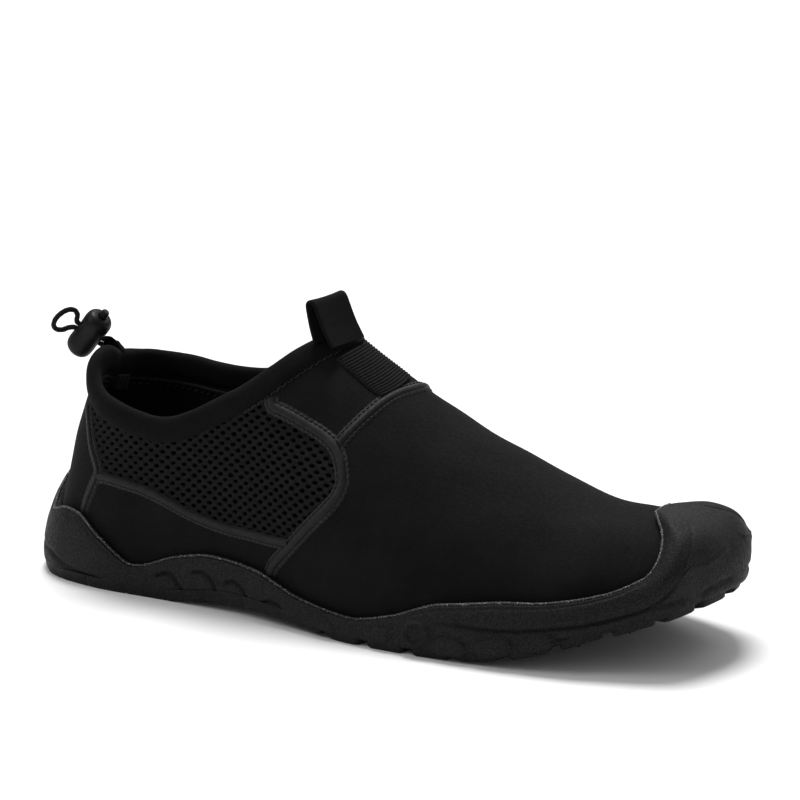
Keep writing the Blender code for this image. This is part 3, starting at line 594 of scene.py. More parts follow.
def near_line(places, line):
    """The distance of places from a line of straight runs, and how far along it they lie."""
    best, where, run = np.full(places.shape[:-1], 1e9), np.zeros(places.shape[:-1]), 0.0
    total = sum(np.linalg.norm(np.subtract(b, a)) for a, b in zip(line, line[1:]))
    for a, b in zip(line, line[1:]):
        a, b = np.array(a), np.array(b)
        length = np.linalg.norm(b - a)
        t = np.clip(((places - a) @ (b - a)) / length**2, 0, 1)
        away = np.linalg.norm(places - a - t[..., None] * (b - a), axis=-1)
        where = np.where(away < best, (run + t * length) / total, where)
        best = np.minimum(best, away)
        run += length
    return best, where


# Relief on the rubber's side, placed by (row, level): level 0 is the wall's lower edge, 1 its rim.
# Each groove or rib has its height (below zero is a groove), its half width and its line.
SIDE_LINES = (
    ("heel arc", -0.0008, 0.0009, ((0.20, 0.42), (0.70, 0.40), (1.17, 0.34), (1.39, 0.24), (1.71, 0.14),
                                   (2.00, 0.14), (2.30, 0.24))),
    ("sole seam", -0.0009, 0.0005, ((0.10, 0.07), (1.00, 0.08), (2.00, 0.11), (3.00, 0.15), (4.00, 0.15),
                                    (4.60, 0.19), (5.00, 0.22), (5.50, 0.22))),
    ("first leaf", -0.0015, 0.0006, ((2.91, 0.55), (3.10, 0.60), (3.20, 0.50), (3.30, 0.27), (3.42, 0.02))),
    ("second leaf", -0.0015, 0.0006, ((3.46, 0.55), (3.60, 0.60), (3.73, 0.48), (3.83, 0.30), (3.86, 0.02))),
    ("third leaf", -0.0014, 0.0006, ((3.95, 0.38), (4.12, 0.50), (4.26, 0.39), (4.36, 0.16), (4.44, 0.0))),
    ("fourth leaf", -0.0011, 0.0005, ((4.55, 0.10), (4.68, 0.30), (4.80, 0.36), (4.91, 0.34), (4.95, 0.0))),
    ("forefoot line", -0.0014, 0.0006, ((7.35, 0.68), (7.70, 0.61), (8.14, 0.52), (8.59, 0.48), (9.15, 0.45),
                                        (9.72, 0.43), (10.26, 0.39), (10.60, 0.35), (10.85, 0.36),
                                        (11.04, 0.38))),
    ("lower line", -0.0013, 0.0006, ((9.30, 0.24), (9.68, 0.18), (10.01, 0.13), (10.38, 0.12),
                                     (10.70, 0.15))),
    ("branch", -0.0011, 0.0006, ((10.70, 0.33), (10.79, 0.27), (10.89, 0.20), (11.15, 0.09))),
    ("toe line", -0.0009, 0.0008, ((11.30, 0.10), (11.44, 0.16), (11.67, 0.18), (11.80, 0.18))),
    ("toe ridge", 0.0007, 0.0012, ((11.00, 0.37), (11.15, 0.36), (11.32, 0.34), (11.63, 0.39),
                                   (11.80, 0.43))),
    ("mould line", -0.0005, 0.0005, ((11.50, 0.80), (11.42, 0.66), (11.20, 0.48), (11.02, 0.37))),
)
# Raised pads: row, level, half length, half height, height, and slant in degrees
SIDE_PADS = (
    (5.65, 0.34, 0.0050, 0.0024, 0.0007, 0), (6.62, 0.36, 0.0034, 0.0024, 0.0007, 0),
    (7.63, 0.18, 0.0066, 0.0032, 0.0013, -4), (8.31, 0.18, 0.0068, 0.0032, 0.0013, 0),
    (9.08, 0.17, 0.0062, 0.0030, 0.0012, 2),
)
# A ring-shaped pad: row, level, half length, half height and height
SIDE_RINGS = ((7.16, 0.43, 0.0046, 0.0036, 0.0013),)
# Below the rim, half width and height
RIM_GROOVE = (0.0019, 0.0005, -0.00035)
LINE_FADE = 0.12
PAD_POWER = 2.6
RING_WIDTH = 0.22


def wall_places(rows, walls):
    """Each wall point's run along the shoe and its height up the wall, both in metres."""
    run = run_of(walls[:, WALL_LEVELS // 3])
    heights = np.linalg.norm(np.diff(walls, axis=1), axis=2).sum(1)
    levels = np.linspace(0, 1, WALL_LEVELS + 1)
    return run, heights, np.stack(
        [np.broadcast_to(run[:, None], (len(rows), len(levels))), heights[:, None] * levels], -1
    )


def side_relief(rows, walls):
    """The height of the relief at each point of one side's wall."""
    run, heights, places = wall_places(rows, walls)
    found = np.zeros(places.shape[:2])

    def place(row, level):
        at = np.interp(row, rows, run)
        return at, level * np.interp(row, rows, heights)

    for _, rise, half, line in SIDE_LINES:
        fine = smooth_run(line, 6) if len(line) > 2 else np.array(line)
        away, where = near_line(places, [place(*p) for p in fine])
        fade = np.clip(np.minimum(where, 1 - where) / LINE_FADE, 0, 1)
        found += rise * fade * np.exp(-((away / half) ** 2))
    for row, level, half_length, half_height, rise, slant in SIDE_PADS:
        centre = np.array(place(row, level))
        turn = math.radians(slant)
        x, y = (places - centre)[..., 0], (places - centre)[..., 1]
        u = (x * math.cos(turn) + y * math.sin(turn)) / half_length
        v = (-x * math.sin(turn) + y * math.cos(turn)) / half_height
        away = (np.abs(u) ** PAD_POWER + np.abs(v) ** PAD_POWER) ** (1 / PAD_POWER)
        edge = np.clip((1.12 - away) / 0.24, 0, 1)
        found += rise * edge * edge * (3 - 2 * edge)
    for row, level, half_length, half_height, rise in SIDE_RINGS:
        x, y = np.moveaxis(places - np.array(place(row, level)), -1, 0)
        away = np.hypot(x / half_length, y / half_height)
        found += rise * np.exp(-(((away - 1) / RING_WIDTH) ** 2))
    below, half, rise = RIM_GROOVE
    down = heights[:, None] - places[..., 1]
    deep = (np.clip(heights / 0.012 - 0.5, 0, 1) * np.clip((11.2 - rows) / 0.3, 0, 1))[:, None]
    return found + rise * deep * np.exp(-(((down - below) / half) ** 2))


def grid_normals(points):
    """The unit normals of a grid of points."""
    return unit(np.cross(np.gradient(points, axis=0), np.gradient(points, axis=1)))


def build_sole(material):
    """The cup sole's wall, rim and seat."""
    rows = spaced_rows(SOLE_STATIONS, 0.1)
    halves = []
    fade = np.ones(WALL_LEVELS + 1)
    fade[:2] = fade[-2:] = 0
    for side in (LATERAL, MEDIAL):
        walls = wall_points(side, rows)
        relief = side_relief(rows, walls) * fade
        walls = walls + grid_normals(walls) * relief[..., None] * -side
        sides = np.full(len(rows), side)
        turns = [lip(sides, rows, np.full(len(rows), a)) for a in np.linspace(0, math.pi, LIP_STEPS + 1)]
        inner = []
        for level in INNER_LEVELS:
            share = np.minimum(topline_share(sides, rows), wave(sides, rows)) * level
            inner.append(surface(sides, rows, share) + normal(sides, rows, share) * CURVED_CLEARANCE)
        foot = np.full(len(rows), CURVED_CLEARANCE)
        inner.append(standing(sides, rows, foot, read("seat", rows) - CLEARANCE))
        halves.append(np.concatenate([walls, np.stack(turns[1:] + inner, 1)], 1))
    lines = np.concatenate([halves[0], halves[1][-2:0:-1]])
    total, count = lines.shape[:2]
    faces = grid_faces(total, count, True, False).tolist()
    faces += across_faces(total, count, 0) + across_faces(total, count, count - 1)
    return make("rubber_sole", lines, faces, material, "outsole")


def build_bead(material):
    """The moulded bead along the rubber's rim, where the mould's flash leaves it rough."""
    sides, rows = ring(SOLE_STATIONS)
    crest = lip(sides, rows, np.full(len(rows), 0.30 * math.pi))
    ahead = unit(np.roll(crest, -1, axis=0) - np.roll(crest, 1, axis=0))
    out = normal(sides, rows, wave(sides, rows))
    radius = BEAD_RADIUS * (1 + BEAD_ROUGHNESS * ripple(crest, BEAD_GRAIN))
    lines = tube(crest, out, np.cross(ahead, out), radius[:, None], BEAD_POINTS)
    return make("rim_bead", lines, grid_faces(len(lines), BEAD_POINTS, True, True), material)


# The tread: pods along the edge and hexagonal lugs inside them

POD_PITCH = 0.0180
POD_LENGTH = 0.0152
REAR_POD_LENGTH = 0.0190
REAR_PODS_END = 5.5
POD_DEPTH = 0.0125
LUG_PITCH = 0.0170
LUG_RADIUS = 0.0070
LUG_MARGIN = 0.0205
LUG_REACH = 0.78
HEEL_LUG_RADIUS = 0.0080
LUG_BEVEL = 0.0007
LUG_ROUND = 0.28


def outline(side, row):
    """The sole's lower outline, in plan, and its outward directions."""
    return standing(side, row, eased(RUBBER, 6, row) * RUBBER_WALL, 0.0), plan_out(side, row)


def row_along(x):
    """The row at a length along the shoe."""
    rows = np.linspace(0, LAST_ROW, SAMPLES)
    return np.interp(x, read("along", rows), rows)


def rounded(corners, share, steps=3):
    """A polygon with its corners rounded."""
    found = []
    for i in range(len(corners)):
        a, b, c = corners[i - 1], corners[i], corners[(i + 1) % len(corners)]
        start, end = b + (a - b) * share, b + (c - b) * share
        for t in np.linspace(0, 1, steps + 1):
            found.append(start * (1 - t) ** 2 + b * 2 * t * (1 - t) + end * t**2)
    return np.array(found)


def tread_outlines():
    """The outlines of all pods and lugs, in plan."""
    rows = np.linspace(0.05, LAST_ROW - 0.05, SAMPLES)
    for side in (LATERAL, MEDIAL):
        edge, _ = outline(side, rows)
        run = run_of(edge)
        count = int(run[-1] / POD_PITCH)
        for i in range(count):
            middle = (i + 0.5) * run[-1] / count
            rear = np.interp(middle, run, rows) < REAR_PODS_END
            length = REAR_POD_LENGTH if rear else POD_LENGTH
            shape = []
            for turn, inset in ((1, 0.0002), (-1, POD_DEPTH)):
                for share in (-1.0, -0.33, 0.33, 1.0):
                    row = np.interp(middle + turn * share * length / 2, run, rows)
                    place, out = outline(side, np.array([row]))
                    shape.append((place - out * inset)[0, :2])
            yield rounded(np.array(shape), 0.06 if rear else 0.3)
    for line in range(-1, int(LUG_REACH * SOLE_LENGTH / LUG_PITCH)):
        x = line * LUG_PITCH
        row = np.array([row_along(x)])
        low = outline(LATERAL, row)[0][0, 1] + LUG_MARGIN
        high = outline(MEDIAL, row)[0][0, 1] - LUG_MARGIN
        radius = HEEL_LUG_RADIUS if line == 0 else LUG_RADIUS
        count = int((high - low) / LUG_PITCH) + 1
        if count % 2 == line % 2:
            count -= 1
        for i in range(count):
            y = (low + high) / 2 + (i - (count - 1) / 2) * LUG_PITCH
            turns = np.arange(6) * math.tau / 6
            yield rounded(np.stack([x + radius * np.cos(turns), y + radius * np.sin(turns)], -1), LUG_ROUND)


def build_tread(material):
    """The lugs, each with a bevelled foot and a shallow dish in it."""
    points, faces, start = [], [], 0
    for shape in tread_outlines():
        count = len(shape)
        centre = shape.mean(0)
        radius = np.linalg.norm(shape - centre, axis=1).mean()
        low = np.maximum(read("tread", row_along(shape[:, 0])), 0)
        scale = 1 - LUG_BEVEL / radius
        levels = (
            (1.04, LUG_HEIGHT + 2 * EDGE_ROLL), (1.0, LUG_BEVEL), (scale, 0.0), (0.55, 0.0),
            (0.48, 0.0006), (0.10, 0.0006),
        )
        for share, height in levels:
            plan = centre + (shape - centre) * share
            points += np.column_stack([plan, low + height]).tolist()
        faces += grid_faces(len(levels), count, False, True, start).tolist()
        faces.append(list(range(start + (len(levels) - 1) * count, start + len(levels) * count)))
        start += len(levels) * count
    return make("tread_lugs", points, faces, material, sharp=50)


# The upper

SWELL = 0.00035
SWELL_LENGTH = 0.034
UPPER_STATIONS = 230
UPPER_LEVELS = 52
FRONT_SEAM = (
    (4.40, 0.500), (4.46, 0.484), (4.65, 0.500), (4.90, 0.515), (5.15, 0.522), (5.38, 0.512),
    (5.53, 0.478), (5.62, 0.430), (5.65, 0.395), (5.59, 0.342), (5.44, 0.284), (5.24, 0.222),
    (5.00, 0.152), (4.81, 0.103), (4.68, 0.072), (4.60, 0.045),
)
THROAT_SEAM = (
    (5.46, 0.530), (5.50, 0.560), (5.60, 0.635), (5.69, 0.713), (5.76, 0.800), (5.82, 0.888),
    (5.87, 0.963), (5.89, 1.040), (5.87, 1.120), (5.82, 1.200), (5.74, 1.287), (5.63, 1.365),
    (5.50, 1.440), (5.46, 1.470),
)
LOWER_SEAM = (
    (2.02, 0.213), (2.14, 0.206), (2.50, 0.174), (3.00, 0.136), (3.45, 0.114), (3.95, 0.110),
    (4.45, 0.122), (4.79, 0.136), (4.90, 0.141),
)
HEEL_SEAM = (
    (1.58, 0.425), (1.62, 0.400), (1.67, 0.378), (1.76, 0.335), (1.86, 0.287), (1.96, 0.250),
    (2.00, 0.222), (1.90, 0.195), (1.80, 0.168), (1.72, 0.140),
)
MESH_PITCH = (0.0050, 0.0019)
MESH_HOLE = (0.00118, 0.00072)
MESH_THICKNESS = 0.0009
MESH_SPREAD = 0.035
MESH_RIM = 1.35
HEEL_HOLES = 0.72
MESH_ROWS = (2, 45)
MESH_COLUMNS = (4, 50)


def window(side):
    """The mesh panel's outline, as (row, share) places."""
    top = np.linspace(4.40, 1.58, 30)
    front = [p for p in FRONT_SEAM if p[1] > 0.14][::-1]
    edge = [(row, float(topline_share(side, row)) + 0.04) for row in top]
    return np.array([*HEEL_SEAM[:7], *LOWER_SEAM[1:8], *front, *edge])


def inside(polygon, rows, shares):
    """Whether places lie in a polygon."""
    found = np.zeros(np.shape(rows), bool)
    for (ax, ay), (bx, by) in zip(polygon, np.roll(polygon, -1, axis=0)):
        crosses = (ay > shares) != (by > shares)
        slope = (bx - ax) / (by - ay if by != ay else 1e-12)
        found ^= crosses & (rows < ax + slope * (shares - ay))
    return found


def build_upper(material):
    """The upper's wall, with a window for the mesh panel on each side."""
    sides, rows = ring(UPPER_STATIONS)
    tops = topline_share(sides, rows)
    levels = np.linspace(0, 1, UPPER_LEVELS + 1)
    shares = tops[:, None] * levels
    outer = skin(sides[:, None], rows[:, None], shares, 0.0)
    inner = skin(sides[:, None], rows[:, None], shares, -UPPER_WALL)
    inner[:, 0, 2] = outer[:, 0, 2]
    total, count = shares.shape
    after = (np.arange(total) + 1) % total
    middle_row = (rows + rows[after]) / 2
    middle_share = (shares[:, :-1] + shares[:, 1:] + shares[after, :-1] + shares[after, 1:]) / 4
    cut = np.zeros(middle_share.shape, bool)
    for side in (LATERAL, MEDIAL):
        spread = np.broadcast_to(middle_row[:, None], middle_share.shape)
        here = np.broadcast_to((sides == side)[:, None], cut.shape)
        cut |= here & inside(window(side), spread, middle_share)
    half = total * count
    faces = []
    for i in range(total):
        j = (i + 1) % total
        for k in range(count - 1):
            a, b, c, d = i * count + k, j * count + k, j * count + k + 1, i * count + k + 1
            faces.append((a + half, d + half, c + half, b + half))
            if cut[i, k]:
                continue
            faces.append((a, b, c, d))
            if cut[j, k]:
                faces.append((b, b + half, c + half, c))
            if cut[i - 1, k]:
                faces.append((a, d, d + half, a + half))
            if k + 1 < count - 1 and cut[i, k + 1]:
                faces.append((c, c + half, d + half, d))
            if k > 0 and cut[i, k - 1]:
                faces.append((a, a + half, b + half, b))
        faces.append((i * count, i * count + half, j * count + half, j * count))
        top = i * count + count - 1, j * count + count - 1
        if not (tops[i] == 1 and tops[j] == 1) and not cut[i, -1]:
            faces.append((top[0], top[1], top[1] + half, top[0] + half))
    return make("upper_cloth", np.stack([outer, inner]), faces, material, "upper", sharp=60)


def place_on_side(side, u, v):
    """The (row, share) places at runs along the shoe and up its side, in metres."""
    rows = np.linspace(0, LAST_ROW, SAMPLES)
    row = np.interp(u, run_of(surface(side, rows, 0.25)), rows)
    shares = np.linspace(0, 1, 90)
    walls = surface(side, row[:, None], shares)
    climb = np.cumsum(np.linalg.norm(np.diff(walls, axis=1), axis=2), axis=1)
    climb = np.concatenate([np.zeros((len(row), 1)), climb], 1)
    i = np.clip((climb < v[:, None]).sum(1) - 1, 0, len(shares) - 2)
    k = np.arange(len(row))
    f = (v - climb[k, i]) / np.maximum(climb[k, i + 1] - climb[k, i], 1e-9)
    return row, shares[i] + np.clip(f, 0, 1) * (shares[1] - shares[0])


def build_mesh(side, name, material):
    """A mesh panel: a knit sheet with a staggered field of oval holes through it."""
    step_u, step_v = MESH_PITCH
    tip = (step_u**2 / 4 + step_v**2) / step_u
    corner = tip - 2 * step_v**2 / step_u
    hexagon = np.array([(tip, 0), (corner, step_v), (-corner, step_v), (-tip, 0), (-corner, -step_v),
                        (corner, -step_v)])
    border = np.stack([hexagon, (hexagon + np.roll(hexagon, -1, axis=0)) / 2], 1).reshape(-1, 2)
    turns = np.arctan2(border[:, 1] / MESH_HOLE[1], border[:, 0] / MESH_HOLE[0])
    hole = np.stack([MESH_HOLE[0] * np.cos(turns), MESH_HOLE[1] * np.sin(turns)], -1)
    centres = np.array([
        ((i + 0.5 * (j % 2)) * step_u, j * step_v) for j in range(*MESH_ROWS) for i in range(*MESH_COLUMNS)
    ])
    row, share = place_on_side(side, centres[:, 0], centres[:, 1])
    polygon = window(side)
    wider = polygon + (polygon - polygon.mean(0)) * MESH_SPREAD
    kept = inside(wider, row, share) & (share < topline_share(side, row) + 0.01)
    centres = centres[kept]
    jitter = 1 + 0.12 * np.sin(centres[:, 0] * 9000) * np.cos(centres[:, 1] * 7000)
    first, last = centres[:, 0].min(), centres[:, 0].max()
    jitter *= np.interp(centres[:, 0], (first, first + 0.4 * (last - first)), (HEEL_HOLES, 1.0))
    around = (centres[:, None] + border).reshape(-1, 2)
    holes = (centres[:, None] + hole * jitter[:, None, None]).reshape(-1, 2)
    rims = (centres[:, None] + hole * jitter[:, None, None] * MESH_RIM).reshape(-1, 2)
    layers = []
    for places, lift in (
        (around, 0.00005), (rims, 0.00008), (holes, -0.00020), (holes, -MESH_THICKNESS),
        (around, -MESH_THICKNESS),
    ):
        row, share = place_on_side(side, places[:, 0], places[:, 1])
        layers.append(skin(np.full(len(row), side), row, share, lift))
    points = np.stack(layers)
    each = len(border)
    size = len(around)
    faces = []
    for c in range(len(centres)):
        for k in range(each):
            a, b = c * each + k, c * each + (k + 1) % each
            for layer in range(len(layers) - 1):
                low, high = layer * size, (layer + 1) * size
                faces.append((a + low, b + low, b + high, a + high))
    return make(name, points, faces, material, sharp=50)


# Seams: a raised welt with a stitched flange along it

WELT_SECTION = (
    (-0.0019, 0.00040), (-0.0017, 0.00085), (-0.0011, 0.00118), (0.0, 0.00130), (0.0011, 0.00118),
    (0.0017, 0.00085), (0.0019, 0.00040),
)
WELT_WIDTH = 0.0038
SEAM_FOOT = 0.00002
FLANGE_STEP = 0.0002
SCALLOP = 0.00016
FLANGE_WIDTH = 0.0011
FLANGE_HEIGHT = 0.00034
STITCH_PITCH = 0.0022
STITCH_LENGTH = 0.0017
STITCH_RADIUS = 0.00021
SEAM_FINENESS = 14


def slide(side, row, share, move):
    """The (row, share) places that lie a short move away on the upper's face."""
    per_row = (surface(side, row + PROBE, share) - surface(side, row - PROBE, share)) / (2 * PROBE)
    per_share = (surface(side, row, share + PROBE) - surface(side, row, share - PROBE)) / (2 * PROBE)
    aa, bb = (per_row**2).sum(-1), (per_share**2).sum(-1)
    ab = (per_row * per_share).sum(-1)
    am, bm = (per_row * move).sum(-1), (per_share * move).sum(-1)
    scale = aa * bb - ab * ab
    return row + (am * bb - bm * ab) / scale, share + (bm * aa - am * ab) / scale


def seam_frames(side, seam):
    """A seam's places, their run, and its direction across."""
    places = smooth_run(seam, SEAM_FINENESS)
    row, share = places[:, 0], places[:, 1]
    points = surface(side, row, share)
    across = unit(np.cross(normal(side, row, share), unit(np.gradient(points, axis=0))))
    return row, share, run_of(points), across


def build_seam(name, side, seam, width, node, material, thread, flanges=(True, True)):
    """A tape over a seam: its welt, its scalloped flanges and their stitches."""
    row, share, run, across = seam_frames(side, seam)
    scale = width / WELT_WIDTH
    half = WELT_SECTION[-1][0] * scale
    scallop = SCALLOP * np.cos(run * math.tau / STITCH_PITCH)
    edges = [(x * scale, z) for x, z in WELT_SECTION]
    for sign, wanted in ((-1, flanges[0]), (1, flanges[1])):
        reach = half + wanted * FLANGE_WIDTH + FLANGE_STEP - scallop * wanted
        rim = [
            (sign * (half + FLANGE_STEP), FLANGE_HEIGHT), (sign * reach, FLANGE_HEIGHT * 0.9),
            (sign * (reach + FLANGE_STEP), SEAM_FOOT),
        ]
        edges = edges + rim if sign > 0 else rim[::-1] + edges
    lines = []
    for offset, lift in edges:
        r, s = slide(side, row, share, across * np.broadcast_to(offset, run.shape)[:, None])
        lines.append(skin(side, r, s, lift))
    lines = np.stack(lines, 1)
    made = make(name, lines, capped(lines), material, node, sharp=55)
    for sign, wanted, end in ((-1, flanges[0], "in"), (1, flanges[1], "out")):
        if wanted:
            offset = sign * (half + FLANGE_STEP + FLANGE_WIDTH * 0.45)
            build_stitches(f"{name}_stitches_{end}", side, seam, offset, thread)
    return made


def capsule_points(start, end, out, radius):
    """A stitch between two points: a rounded thread that dips at its ends."""
    side = np.cross(out, unit(end - start))
    rings = []
    for t, size, dip in (
        (0.0, 0.35, -0.9), (0.10, 0.8, -0.2), (0.3, 1.0, 0.35), (0.5, 1.0, 0.5), (0.7, 1.0, 0.35),
        (0.90, 0.8, -0.2), (1.0, 0.35, -0.9),
    ):
        middle = start + (end - start) * t + out * radius * dip
        for k in range(6):
            a = math.tau * k / 6
            rings.append(middle + (side * math.cos(a) + out * math.sin(a)) * radius * size)
    return rings


def join_stitches(name, pairs, material, radius=STITCH_RADIUS):
    """All stitches of a row as one mesh; each is a start, an end and an outward direction."""
    points, faces = [], []
    for start, end, out in pairs:
        first = len(points)
        points += capsule_points(start, end, out, radius)
        faces += grid_faces(7, 6, False, True, first).tolist()
        faces += [list(range(first, first + 6))[::-1], list(range(first + 36, first + 42))]
    return make(name, points, faces, material)


def build_stitches(name, side, seam, offset, material):
    """A row of stitches beside a seam."""
    row, share, _, across = seam_frames(side, seam)
    r, s = slide(side, row, share, across * offset)
    points = skin(side, r, s, FLANGE_HEIGHT + 0.0001)
    run = run_of(points)
    at = np.arange(STITCH_PITCH / 2, run[-1] - STITCH_LENGTH, STITCH_PITCH)
    starts, ends = at_run(at, run, points), at_run(at + STITCH_LENGTH, run, points)
    return join_stitches(name, zip(starts, ends, unit(at_run(at, run, normal(side, r, s)))), material)


# The throat's webbing

WEBBING = ((5.05, 0.815, 1.075), (5.30, 0.812, 1.065), (5.70, 0.800, 1.045), (5.78, 0.800, 1.040))
WEBBING_BOW = 0.08
WEBBING_RIBS = 18
WEBBING_THICKNESS = 0.0009
RIB_HEIGHT = 0.0005
WEBBING_ACROSS = 26


def build_webbing(material):
    """The ribbed webbing over the throat, each rib a rounded cord across it."""
    steps = WEBBING_RIBS * 10
    rows = np.linspace(WEBBING[0][0], WEBBING[-1][0], steps + 1)
    t = np.linspace(0, 1, WEBBING_ACROSS + 1)
    left, right = eased(WEBBING, 1, rows), eased(WEBBING, 2, rows)
    share = left[:, None] + (right - left)[:, None] * t
    row = rows[:, None] - WEBBING_BOW * (2 * t - 1) ** 2
    phase = np.linspace(0, WEBBING_RIBS, steps + 1)
    rib = RIB_HEIGHT * np.abs(np.sin(phase * math.pi)) ** 0.7
    edge = np.clip(np.minimum(t, 1 - t) / 0.05, 0, 1) ** 0.5
    lift = 0.0001 + (WEBBING_THICKNESS + rib)[:, None] * (0.35 + 0.65 * edge)
    top = skin(LATERAL, row, share, lift)
    low = skin(LATERAL, row, share, np.full(row.shape, 0.00002))
    lines = np.concatenate([low, top[:, ::-1]], 1)
    return make("ribbed_webbing", lines, capped(lines), material, "throat_webbing")


# The collar

COLLAR_LEAN = ((0.0, 18.0), (1.0, 18.0), (2.0, 9.5), (3.0, 0.0))
COLLAR_STATIONS = 200
COLLAR_POINTS = 40
COLLAR_FULL = 2.4
COLLAR_OVERLAP = 0.0009
COLLAR_CREASE = 0.00012


def collar_frames():
    """The collar's path around the opening: places, and outward and upward directions."""
    sides, rows = there_and_back(spaced_rows(COLLAR_STATIONS, 0.3, 0.0, THROAT_ROW))
    shares = topline_share(sides, rows)
    out = normal(sides, rows, shares)
    places = surface(sides, rows, shares) - out * UPPER_WALL / 2
    along = unit(np.roll(places, -1, axis=0) - np.roll(places, 1, axis=0))
    up = unit(np.cross(out, along))
    out = np.cross(along, up)
    lean = np.radians(eased(COLLAR_LEAN, 1, rows))[:, None]
    return places, out * np.cos(lean) - up * np.sin(lean), up * np.cos(lean) + out * np.sin(lean)


def collar_points():
    """The padded roll's rings of points."""
    places, out, up = collar_frames()
    bottom, top = -COLLAR_OVERLAP, 2 * CLEARANCE + COLLAR_HEIGHT
    centre = places + up * (bottom + top) / 2
    turns = np.linspace(0, math.tau, COLLAR_POINTS, endpoint=False)
    across, rise = (np.sign(v) * np.abs(v) ** (2 / COLLAR_FULL) for v in (np.cos(turns), np.sin(turns)))
    wide = COLLAR_THICKNESS / 2 * across
    tall = (top - bottom) / 2 * rise
    points = centre[:, None] + out[:, None] * wide[:, None] + up[:, None] * tall[:, None]
    crease = COLLAR_CREASE * ripple(points, 0.021) + 0.5 * COLLAR_CREASE * ripple(points, 0.011)
    return points + unit(points - centre[:, None]) * crease[..., None]


def build_collar(material):
    """The padded roll around the opening, sewn over the upper's edge."""
    points = collar_points()
    faces = grid_faces(len(points), COLLAR_POINTS, True, True)
    made = make("collar_roll", points, faces, material, "collar")
    return made


# The pull loop

LOOP_PATH = (
    (0.0005, 0.0020), (-0.0002, 0.0031), (-0.0012, 0.0048), (-0.0028, 0.0076), (-0.0044, 0.0110),
    (-0.0058, 0.0143), (-0.0070, 0.0170), (-0.0082, 0.0181), (-0.0096, 0.0179), (-0.0101, 0.0164),
    (-0.0096, 0.0133), (-0.0090, 0.0105), (-0.0084, 0.0080), (-0.0078, 0.0060), (-0.0073, 0.0044),
    (-0.0069, 0.0029),
)
LOOP_WIDTH = 0.0190
LOOP_THICKNESS = 0.0013
LOOP_CENTRE = -0.0025
LOOP_YAW = math.radians(-8)
LOOP_TILT = math.radians(3)
LOOP_BULGE = 0.0004
LOOP_RIDGE = (0.00022, 0.0004)
LOOP_RIDGES = (-0.0022, -0.0008, 0.0008)
# Places across the webbing, from -1 to 1, with the front's and the back's share of its half thickness
LOOP_SECTION = (
    (-1, 0.3, 0.3), (-0.985, 0.8, 0.8), (-0.94, 1, 1), (-0.90, 0.86, 1), (-0.45, 1, 1), (0, 1, 1),
    (0.45, 1, 1), (0.90, 0.86, 1), (0.94, 1, 1), (0.985, 0.8, 0.8), (1, 0.3, 0.3),
)


def build_pull_loop(material):
    """The webbing loop that straddles the collar at the throat."""
    across = unit(np.array([-math.sin(LOOP_YAW), math.cos(LOOP_YAW), math.tan(LOOP_TILT)]))
    path = smooth_run(LOOP_PATH, 10)
    top = surface(LATERAL, THROAT_ROW, 1.0)
    origin = np.array([top[0], LOOP_CENTRE, top[2]])
    middle = origin + np.stack([path[:, 0], np.zeros(len(path)), path[:, 1]], -1)
    middle, run = even_run(middle, 0.0004)
    out = np.cross(unit(np.gradient(middle, axis=0)), [0, 1, 0])
    fold = run[np.argmax(middle[:, 2])]
    rise, width = LOOP_RIDGE
    ridge = sum(rise * np.exp(-(((run - fold - place) / width) ** 2)) for place in LOOP_RIDGES)
    front, back = [], []
    for u, front_share, back_share in LOOP_SECTION:
        line = middle + across * LOOP_WIDTH / 2 * u
        bulge = LOOP_BULGE * math.cos(u * math.pi / 2)
        thick = LOOP_THICKNESS / 2 * front_share + ridge * (abs(u) < 0.95)
        front.append(line + out * (bulge + thick)[:, None])
        back.append(line + out * (bulge - LOOP_THICKNESS / 2 * back_share))
    points = np.stack(front + back[::-1], 1)
    return make("pull_tab", points, capped(points), material, "pull_loop", sharp=50)


# The drawcord and its lock

LOCK_CENTRE = Vector((-0.0225, -0.0020, 0.0896))
LOCK_AXIS = Vector((0.66, 0.0, 0.75)).normalized()
LOCK_HOLE_AXIS = Vector((-0.650, -0.500, 0.572))
BARREL_RADIUS = 0.0053
BARREL_PROFILE = (
    (0.00, -0.0099), (0.30, -0.00988), (0.56, -0.0096), (0.80, -0.0089), (0.94, -0.0077),
    (0.995, -0.0060), (1.00, -0.0043), (0.985, -0.0022), (0.975, 0.0000), (0.985, 0.0022),
    (1.01, 0.0043), (1.02, 0.0060), (0.97, 0.0077), (0.83, 0.0089), (0.62, 0.0096), (0.46, 0.0097),
    (0.36, 0.0096), (0.33, 0.0091), (0.33, 0.0072), (0.20, 0.0070), (0.00, 0.0070),
)
BARREL_OVAL = 1.12
TURNED_POINTS = 56
NUB_RADIUS = 0.0016
NUB_PROFILE = (
    (0.0, 0.0060), (1.0, 0.0060), (1.0, 0.0116), (0.94, 0.0121), (0.75, 0.0125), (0.0, 0.0125),
)
CORD_RADIUS = 0.00095
CORD_STEP = 0.00025
CORD_POINTS = 24
BRAID_PITCH = 0.0042
STRAND_OFFSET = 0.0012
LOOP_ROUTE = (
    (0.0070, 0.0002, 0.0021), (0.0080, 0.0006, 0.0044), (0.0100, 0.0015, 0.0061),
    (0.0122, 0.0027, 0.0058), (0.0138, 0.0036, 0.0034), (0.0143, 0.0039, -0.0002),
    (0.0134, 0.0034, -0.0034), (0.0114, 0.0023, -0.0050), (0.0092, 0.0011, -0.0045),
    (0.0076, 0.0003, -0.0026),
)
STRAND_REACH = (-0.0056, 0.0, 0.0054)
LOW_STRAND = (
    (-0.0187, 0.0013, 0.0850), (-0.0173, 0.0011, 0.0848), (-0.0160, 0.0002, 0.0855),
    (-0.0142, -0.0011, 0.0861),
)
